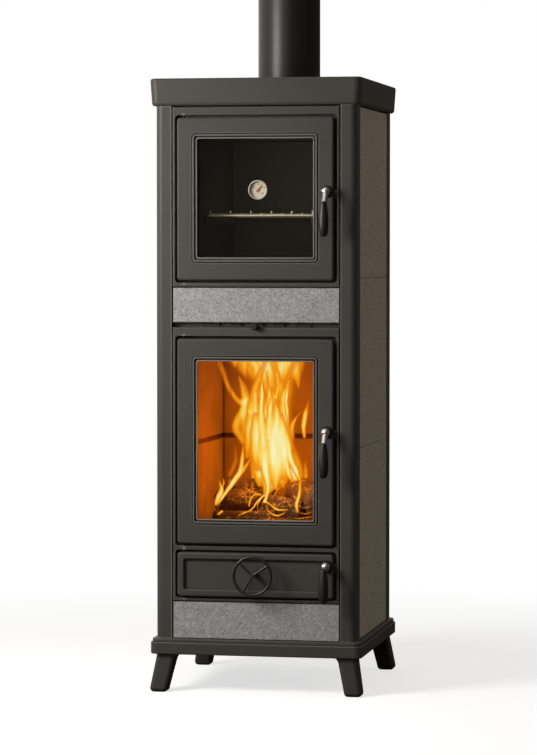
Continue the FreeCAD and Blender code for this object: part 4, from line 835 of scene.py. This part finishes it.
@dataclass
class Fire:
    """What burns in the chamber: a bed of embers, charred logs and the flames over them."""

    hearth_z: float = 0.3262
    bed_half: float = 0.115
    bed_depth: tuple[float, float] = (-0.145, 0.105)
    bed_points: int = 90
    lumps_per_m: float = 60.0
    logs: list[Log] = field(default_factory=lambda: [
        Log("log_front", (-0.112, -0.088, 0.343), (0.020, -0.070, 0.346), 0.017, 3),
        Log("log_left", (-0.105, -0.06, 0.366), (-0.010, 0.045, 0.384), 0.025, 8),
        Log("log_right", (0.118, -0.075, 0.372), (0.040, 0.035, 0.384), 0.030, 12),
        Log("log_middle", (-0.010, -0.04, 0.364), (0.075, -0.055, 0.362), 0.024, 15),
        Log("log_top", (-0.090, -0.02, 0.398), (-0.005, 0.035, 0.408), 0.018, 21),
    ])
    sheets: tuple[FlameSheet, ...] = (
        FlameSheet("flames_back", FLAME_BACK, 0.045, (
            ((-13, 397, 15.2, 50), (-3, 433, 55.6, 66), (-3, 473, 63.1, 72), (-8, 518, 63.1, 74),
             (-8, 561, 61.9, 74), (-3, 599, 60.6, 70), (-3, 637, 68.2, 66), (-6, 675, 83.3, 66)),
            ((-81, 672, 22.7, 66), (-54, 662, 37.9, 72), (-13, 662, 50.5, 74), (32, 665, 42.9, 72),
             (48, 642, 16.7, 60), (54, 606, 3.5, 35)),
            ((-51, 579, 10.1, 52), (-69, 576, 9.1, 50), (-86, 592, 8.6, 48), (-97, 614, 8.6, 42),
             (-107, 640, 10.1, 36), (-119, 665, 11.6, 30)),
            ((-64, 493, 9.6, 40), (-77, 516, 12.6, 52), (-75, 534, 12.6, 55), (-64, 556, 11.1, 52),
             (-59, 577, 4, 35)),
            ((-41, 478, 17.7, 50), (-54, 523, 19.2, 62), (-56, 559, 16.2, 62), (-59, 592, 12.1, 60),
             (-71, 627, 4, 30)),
            ((40, 503, 6.1, 35), (40, 523, 6.6, 50), (47, 540, 4.5, 50), (60, 556, 1.5, 35)),
            ((67, 506, 4.5, 60), (65, 526, 6.6, 74), (68, 549, 7.1, 70), (74, 566, 5.1, 50),
             (75, 583, 1.5, 30)),
            ((-41, 420, 6.1, 50), (-37, 448, 14.1, 60), (-41, 476, 17.7, 55)),
            ((70, 420, 6.6, 50), (68, 440, 4.5, 40), (69, 458, 1.5, 25)),
            ((58, 420, 14.1, 55), (47, 448, 20.2, 60), (37, 476, 17.7, 55)),
            ((-91, 425, 7.6, 30), (-79, 453, 7.6, 35), (-79, 481, 3.5, 25)),
        ), 1.45),
        FlameSheet("flames_middle", FLAME_MIDDLE, 0.0, (
            ((-13, 390, 8.6, 75), (-3, 428, 32.8, 92), (2, 473, 46.7, 97), (-3, 518, 49.2, 97),
             (-6, 556, 40.4, 90), (-3, 589, 22.7, 55)),
            ((-46, 561, 11.1, 55), (-40, 594, 11.1, 62), (-30, 624, 10.1, 62), (-16, 660, 10.1, 55)),
            ((22, 589, 12.6, 60), (13, 619, 11.6, 60), (5, 645, 10.1, 55), (1, 667, 9.1, 50)),
            ((49, 667, 11.1, 45), (40, 645, 10.1, 40), (27, 619, 7.6, 35)),
            ((-33, 483, 20.2, 70), (-36, 523, 22.0, 85), (-34, 559, 17.0, 82), (-36, 593, 6.0, 50)),
            ((20, 483, 16.2, 75), (23, 549, 11.1, 85), (24, 582, 7.6, 85), (30, 608, 4.5, 80),
             (35, 624, 1.5, 50)),
            ((-54, 465, 7.6, 40), (-52, 503, 13.1, 62), (-48, 541, 13.1, 62), (-46, 574, 5.1, 40)),
            ((-27, 425, 5.1, 55), (-35, 455, 10.1, 70), (-34, 483, 8.1, 70), (-36, 511, 2.5, 35)),
            ((45, 420, 11.1, 55), (35, 448, 14.1, 70), (31, 478, 16.7, 75), (28, 518, 13.6, 70),
             (27, 549, 5.1, 40)),
            ((-6, 587, 5.1, 50), (-10, 614, 4.5, 55), (-13, 642, 2, 35)),
            ((8, 587, 5.1, 50), (11, 612, 4.5, 55), (7, 637, 2, 35)),
            ((-54, 592, 2.5, 30), (-58, 609, 5.6, 45), (-67, 626, 2.5, 30)),
            ((22, 405, 7.6, 50), (22, 430, 17.7, 85), (22, 463, 17.7, 85)),
            ((47, 412, 7.1, 50), (45, 433, 14.1, 80), (40, 460, 11.6, 65)),
            ((-28, 407, 6.1, 50), (-31, 433, 14.1, 80), (-28, 465, 16.7, 85)),
        ), 1.4),
        FlameSheet("flames_front", FLAME_FRONT, -0.11, (
            ((-16, 498, 9.1, 50), (-19, 544, 9.6, 90), (-21, 579, 7.1, 97), (-20, 604, 5.1, 97),
             (-21, 628, 1, 70)),
            ((-5, 513, 7.6, 50), (-3, 549, 9.1, 85), (-1, 577, 6.6, 95), (1, 599, 1.8, 60)),
            ((7, 468, 19.2, 60), (10, 518, 17.7, 92), (11, 561, 10.1, 88), (8, 589, 2.5, 40)),
            ((36, 537, 2, 50), (33, 561, 5.1, 95), (30, 579, 4.5, 95), (31, 599, 4, 95),
             (36, 621, 1.3, 70)),
            ((28, 433, 12.6, 50), (29, 483, 18.7, 95), (25, 526, 13.6, 90), (22, 559, 3.5, 40)),
            ((-13, 381, 3.8, 90), (-8, 412, 6.6, 95), (-12, 443, 11.6, 97), (-16, 478, 12.6, 90),
             (-17, 513, 5.1, 50)),
            ((7, 410, 7.6, 60), (9, 448, 21.7, 95), (6, 486, 27.8, 97), (-2, 523, 20.2, 85),
             (-3, 551, 6.1, 40)),
            ((-110, 374, 2, 70), (-97, 395, 4.3, 90), (-82, 419, 5.3, 93), (-66, 441, 5.6, 90),
             (-60, 468, 5.1, 85), (-59, 501, 1.5, 40)),
            ((-94, 397, 2.5, 50), (-76, 422, 5.6, 75), (-59, 444, 5.6, 75), (-43, 470, 2.3, 35)),
            ((-115, 373, 2.8, 75), (-108, 392, 7.6, 97), (-103, 407, 5.6, 90), (-108, 422, 1.5, 50)),
            ((-102, 407, 1, 40), (-98, 419, 2.8, 60), (-100, 429, 1, 30)),
            ((56, 425, 3, 65), (51, 443, 7.3, 95), (43, 463, 6.8, 95), (38, 483, 4.3, 70),
             (36, 501, 1.3, 35)),
            ((42, 422, 3.5, 55), (36, 440, 5.6, 80), (31, 460, 3, 45)),
            ((54, 363, 2.3, 75), (52, 377, 4.5, 90), (56, 395, 4.5, 80), (58, 415, 4.5, 60),
             (58, 431, 2.5, 40)),
            ((-46, 373, 2.3, 70), (-43, 386, 2.3, 80), (-34, 395, 2.3, 70), (-23, 396, 3, 60)),
            ((-59, 356, 1.5, 50), (-42, 365, 2, 70), (-28, 382, 2.8, 80), (-16, 395, 3.5, 80)),
            ((-71, 352, 1, 40), (-61, 356, 1.8, 60), (-53, 360, 2, 80)),
            ((-14, 382, 3, 80), (-2, 374, 2.3, 70), (10, 366, 2.8, 90), (33, 365, 1.5, 60)),
            ((-11, 373, 1.3, 40), (-5, 360, 1.8, 70), (10, 354, 2.3, 80), (24, 357, 1.5, 60),
             (28, 363, 1, 40)),
            ((1, 385, 1.3, 40), (10, 402, 2, 50), (20, 412, 3, 40)),
            ((-110, 353, 2.8, 70), (-103, 359, 3.3, 85)),
            ((-74, 391, 1, 40), (-58, 396, 1, 50), (-43, 406, 1.3, 60), (-38, 422, 1, 40)),
            ((-93, 384, 0.8, 30), (-81, 386, 1, 50), (-71, 379, 0.8, 40)),
            ((-73, 399, 0.8, 30), (-62, 407, 1, 50), (-47, 413, 0.8, 40)),
            ((-28, 360, 1.3, 40), (-28, 374, 1.5, 50), (-23, 385, 2, 60)),
            ((-19, 366, 1, 30), (-18, 377, 1.3, 50), (-15, 385, 2, 60)),
            ((58, 372, 0.8, 30), (71, 370, 1.3, 55), (85, 373, 0.8, 40)),
            ((57, 361, 0.8, 40), (69, 357, 1.3, 60), (85, 362, 0.8, 40)),
            ((60, 396, 0.8, 30), (73, 393, 1, 45), (85, 384, 0.8, 30)),
            ((63, 406, 0.8, 30), (75, 402, 1, 40), (85, 394, 0.8, 30)),
            ((33, 350, 1, 30), (59, 348, 1.5, 55), (83, 351, 1.3, 40)),
            ((-95, 347, 1, 30), (-53, 349, 1.3, 40), (-3, 347, 1, 30)),
            ((-28, 448, 10.1, 50), (-31, 488, 16.2, 85), (-32, 529, 15.1, 90), (-33, 559, 8.1, 60)),
        ), swing=0.012),
    )

    def embers(self) -> None:
        """Bed of embers: a low heap over the grate, lumpy, that ends on the hearth at its edge.

        Its height in mm is 8 + 11 * lumps + 3 * small lumps + 6 * a dome, all less towards the edge.
        """
        count = self.bed_points
        front, back = self.bed_depth
        x, y = np.meshgrid(np.linspace(-1, 1, count), np.linspace(-1, 1, count))
        plan = np.stack([x * self.bed_half, y * (back - front) / 2], axis=-1) * self.lumps_per_m
        edge = np.clip(1 - np.maximum(np.abs(x), np.abs(y)) ** 6, 0, 1)
        lumps = 0.5 + 0.5 * wavy(plan, 5, 7)
        small = wavy(plan * 3.1, 6, 9)
        height = edge * (0.008 + 0.011 * lumps + 0.003 * small + 0.006 * (1 - x ** 2) * (1 - y ** 2))
        points = np.stack([x * self.bed_half, (front + back) / 2 + y * (back - front) / 2,
                           self.hearth_z + height], axis=-1)
        rim = np.arange(count * count).reshape(count, count)
        loop = np.concatenate([rim[0, :-1], rim[:-1, -1], rim[-1, :0:-1], rim[:0:-1, 0]])
        faces = [list(f) for f in grid_faces(count, count)] + [list(loop[::-1])]
        mesh_piece("ember_bed", points, faces, EMBER, Body.STOVE)

    def build(self) -> None:
        """Lay the embers and logs and light them."""
        self.embers()
        for piece in self.logs:
            piece.build()
        for sheet in self.sheets:
            sheet.build()


# ---- Thermometer ------------------------------------------------------------------------
@dataclass
class Dial:
    """Printing on the thermometer's dial: a ring of strokes and plain numbers."""

    centre: tuple[float, float] = (0.0062, 1.010)
    radius: float = 0.0165
    strokes: int = 41
    sweep: tuple[float, float] = (-2.25, 2.25)
    lift: float = 0.00008
    long_every: int = 5
    lengths: tuple[float, float] = (0.0028, 0.0015)
    half_widths: tuple[float, float] = (0.00022, 0.00013)
    number_size: float = 0.0042
    number_inset: float = 0.0052
    marks: tuple[str, ...] = ("50", "150", "250", "350", "450")

    def face_y(self) -> float:
        """Depth of the print, a hair in front of the dial."""
        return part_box("thermometer_dial")[0].y - self.lift

    def scale(self) -> None:
        """Strokes: short quads on an arc, every fifth one longer."""
        angle = np.linspace(*self.sweep, self.strokes)
        long = np.arange(self.strokes) % self.long_every == 0
        inner = self.radius - np.where(long, *self.lengths)
        outer = np.full(self.strokes, self.radius)
        half = np.where(long, *self.half_widths)
        out = np.stack([np.sin(angle), np.cos(angle)], axis=-1)
        side = np.stack([np.cos(angle), -np.sin(angle)], axis=-1)
        corners = [out * r[:, None] + side * (s * half)[:, None]
                   for r, s in ((inner, -1), (inner, 1), (outer, 1), (outer, -1))]
        flat = np.stack(corners, axis=1).reshape(-1, 2)
        points = np.stack([flat[:, 0] + self.centre[0], np.full(len(flat), self.face_y()),
                           flat[:, 1] + self.centre[1]], axis=-1)
        mesh_piece("dial_strokes", points, np.arange(len(flat)).reshape(-1, 4), INK, Body.OVEN_DOOR,
                   smooth=False)

    def numbers(self) -> None:
        """Plain numbers inside the strokes."""
        angles = np.linspace(*self.sweep, len(self.marks))
        for text, angle in zip(self.marks, angles):
            curve = bpy.data.curves.new("dial_number", "FONT")
            curve.body, curve.size = text, self.number_size
            curve.align_x, curve.align_y = "CENTER", "CENTER"
            holder = add_object("dial_number", curve)
            bpy.context.view_layer.update()
            mesh = bpy.data.meshes.new_from_object(holder)
            bpy.data.objects.remove(holder)
            flat = np.empty(len(mesh.vertices) * 3)
            mesh.vertices.foreach_get("co", flat)
            flat = flat.reshape(-1, 3)
            reach = self.radius - self.number_inset
            points = np.stack([flat[:, 0] + self.centre[0] + reach * math.sin(angle),
                               np.full(len(flat), self.face_y()),
                               flat[:, 1] + self.centre[1] + reach * math.cos(angle)], axis=-1)
            mesh_piece("dial_number_" + text, points, [p.vertices[:] for p in mesh.polygons], INK,
                       Body.OVEN_DOOR, smooth=False)

    def build(self) -> None:
        """Print the strokes and numbers."""
        self.scale()
        self.numbers()


# ---- Studio -----------------------------------------------------------------------------
class LampKind(Enum):
    """Kinds of lamp."""

    SOFTBOX = "AREA"
    BALL = "POINT"


@dataclass(frozen=True)
class Lamp:
    """One lamp: where it stands, what it faces, its width or radius and how strong it is."""

    name: str
    place: tuple[float, float, float]
    target: tuple[float, float, float]
    size: float
    watts: float
    colour: str = "#fff8ee"
    in_gloss: bool = True
    kind: LampKind = LampKind.SOFTBOX

    def build(self) -> None:
        """Hang the lamp and turn it to its target."""
        lamp = bpy.data.lights.new(self.name, self.kind.value)
        if self.kind is LampKind.SOFTBOX:
            lamp.shape, lamp.size = "SQUARE", self.size
        else:
            lamp.shadow_soft_size = self.size
        lamp.energy = self.watts
        lamp.color = linear(self.colour)[:3]
        holder = add_object(self.name, lamp)
        holder.location = self.place
        holder.visible_glossy = self.in_gloss
        aim = Vector(self.target) - Vector(self.place)
        holder.rotation_euler = aim.to_track_quat("-Z", "Y").to_euler()


@dataclass
class Studio:
    """Pale floor, white surround, soft lamps and the camera of the photograph.

    The key lamp stands close on the left, and the surround that gloss sees fades to dark on the
    right, as it does beside a black flag, so that the right side of the stove falls into shade. A
    small warm ball among the flames lights the bricks as the fire would.
    """

    eye: tuple[float, float, float] = (1.23139, -6.29692, 0.89087)
    yaw_deg: float = 11.169
    pitch_deg: float = 2.3456
    lens_mm: float = 148.736
    sensor_mm: float = 36.0
    farthest: float = 60.0
    floor_half: float = 12.0
    surround: float = 0.10
    shaded: float = 0.06
    bright_side: tuple[float, float, float] = (-0.884, 0.0, 0.468)
    floor_glow: float = 0.68
    floor_light: str = "#6a6762"
    floor_seen: str = "#ebebea"
    fade: tuple[float, float] = (0.7, 1.8)
    lamps: tuple[Lamp, ...] = (
        Lamp("key", (-1.05, -1.25, 1.2), (-0.05, -0.2, 0.8), 0.65, 20.0, "#fffdfa"),
        Lamp("front", (-0.3, -4.2, 1.5), (0.0, -0.2, 0.8), 2.0, 7.0),
        Lamp("side", (3.0, 1.0, 1.7), (0.2, 0.0, 0.8), 2.2, 11.0, "#ffefdc", False),
        Lamp("back", (-1.6, 3.6, 1.9), (0.0, 0.2, 0.8), 2.2, 8.0),
        Lamp("oven_fill", (0.0, -0.09, 1.09), (0.12, 0.08, 0.93), 0.05, 0.08),
        Lamp("firelight", (0.005, -0.03, 0.5), (0.005, -0.2, 0.5), 0.05, 0.9, "#ff9a3c",
             kind=LampKind.BALL),
    )

    def seen(self, tree: Tree) -> Socket:
        """1 for what the camera sees, straight or through glass, and 0 for light."""
        path = add_node(tree, "LightPath")
        return calc(tree, "MAXIMUM", path.outputs["Is Camera Ray"], path.outputs["Is Transmission Ray"])

    def floor(self) -> None:
        """Pale floor that the camera sees as nearly white, but for the stove's soft shadow."""
        mesh = bpy.data.meshes.new("floor")
        half = self.floor_half
        mesh.from_pydata([(-half, -half, 0), (half, -half, 0), (half, half, 0), (-half, half, 0)], [],
                         [(0, 1, 2, 3)])
        piece = add_object("floor", mesh)
        material = bpy.data.materials.new("floor_pale")
        material.use_nodes = True
        tree = material.node_tree
        tree.nodes.clear()
        seen = self.seen(tree)
        reach = add_node(tree, "VectorMath", {"operation": "LENGTH", 0: place(tree)})
        white = calc(tree, "MULTIPLY", remap(tree, reach.outputs["Value"], *self.fade), seen)
        pale = add_node(tree, "BsdfPrincipled", {
            "Roughness": 0.9, "Specular IOR Level": 0.0, "Emission Color": WHITE,
            "Base Color": blend(tree, seen, self.floor_light, self.floor_seen),
            "Emission Strength": calc(tree, "MULTIPLY", seen, self.floor_glow)}).outputs[0]
        add_node(tree, "OutputMaterial",
                 {"Surface": veiled(tree, white, pale, glowing(tree, WHITE, 1.0))})
        mesh.materials.append(material)

    def world(self) -> None:
        """White surround for the camera and glass, fading to the right for gloss, dim for light."""
        world = bpy.data.worlds.new("surround")
        bpy.context.scene.world = world
        world.use_nodes = True
        tree = world.node_tree
        tree.nodes.clear()
        heading = add_node(tree, "TexCoord").outputs["Generated"]
        turned = add_node(tree, "VectorMath",
                          {"operation": "DOT_PRODUCT", 0: heading, 1: self.bright_side})
        gloss = remap(tree, turned.outputs["Value"], -0.1, 0.8, self.shaded, 1.0, Easing.SOFT)
        path = add_node(tree, "LightPath")
        near = add_node(tree, "Mix",
                        {0: path.outputs["Is Glossy Ray"], 2: self.surround, 3: gloss}).outputs[0]
        strength = add_node(tree, "Mix", {0: self.seen(tree), 2: near, 3: 1.0}).outputs[0]
        light = add_node(tree, "Background", {"Color": WHITE, "Strength": strength})
        add_node(tree, "OutputWorld", {"Surface": light.outputs[0]})

    def camera(self) -> None:
        """Camera at the photograph's place, with no shift and no depth of field."""
        lens = bpy.data.cameras.new("camera")
        lens.lens, lens.sensor_width, lens.sensor_fit = self.lens_mm, self.sensor_mm, "AUTO"
        lens.clip_end = self.farthest
        holder = add_object("camera", lens)
        holder.location = self.eye
        holder.rotation_euler = (math.radians(90 - self.pitch_deg), 0.0, math.radians(self.yaw_deg))
        bpy.context.scene.camera = holder

    def build(self) -> None:
        """Set up camera, floor, surround and lamps."""
        self.camera()
        self.floor()
        self.world()
        for lamp in self.lamps:
            lamp.build()
        bpy.context.scene.view_settings.view_transform = "Standard"


def main() -> None:
    """Build the stove's sub-assemblies in order, then the studio."""
    logging.basicConfig(level=logging.INFO, format="%(name)s: %(message)s")
    for assembly in (Casing(), Fire(), Dial(), Studio()):
        log.info("building %s", type(assembly).__name__)
        assembly.build()


if __name__ == "__main__":
    main()
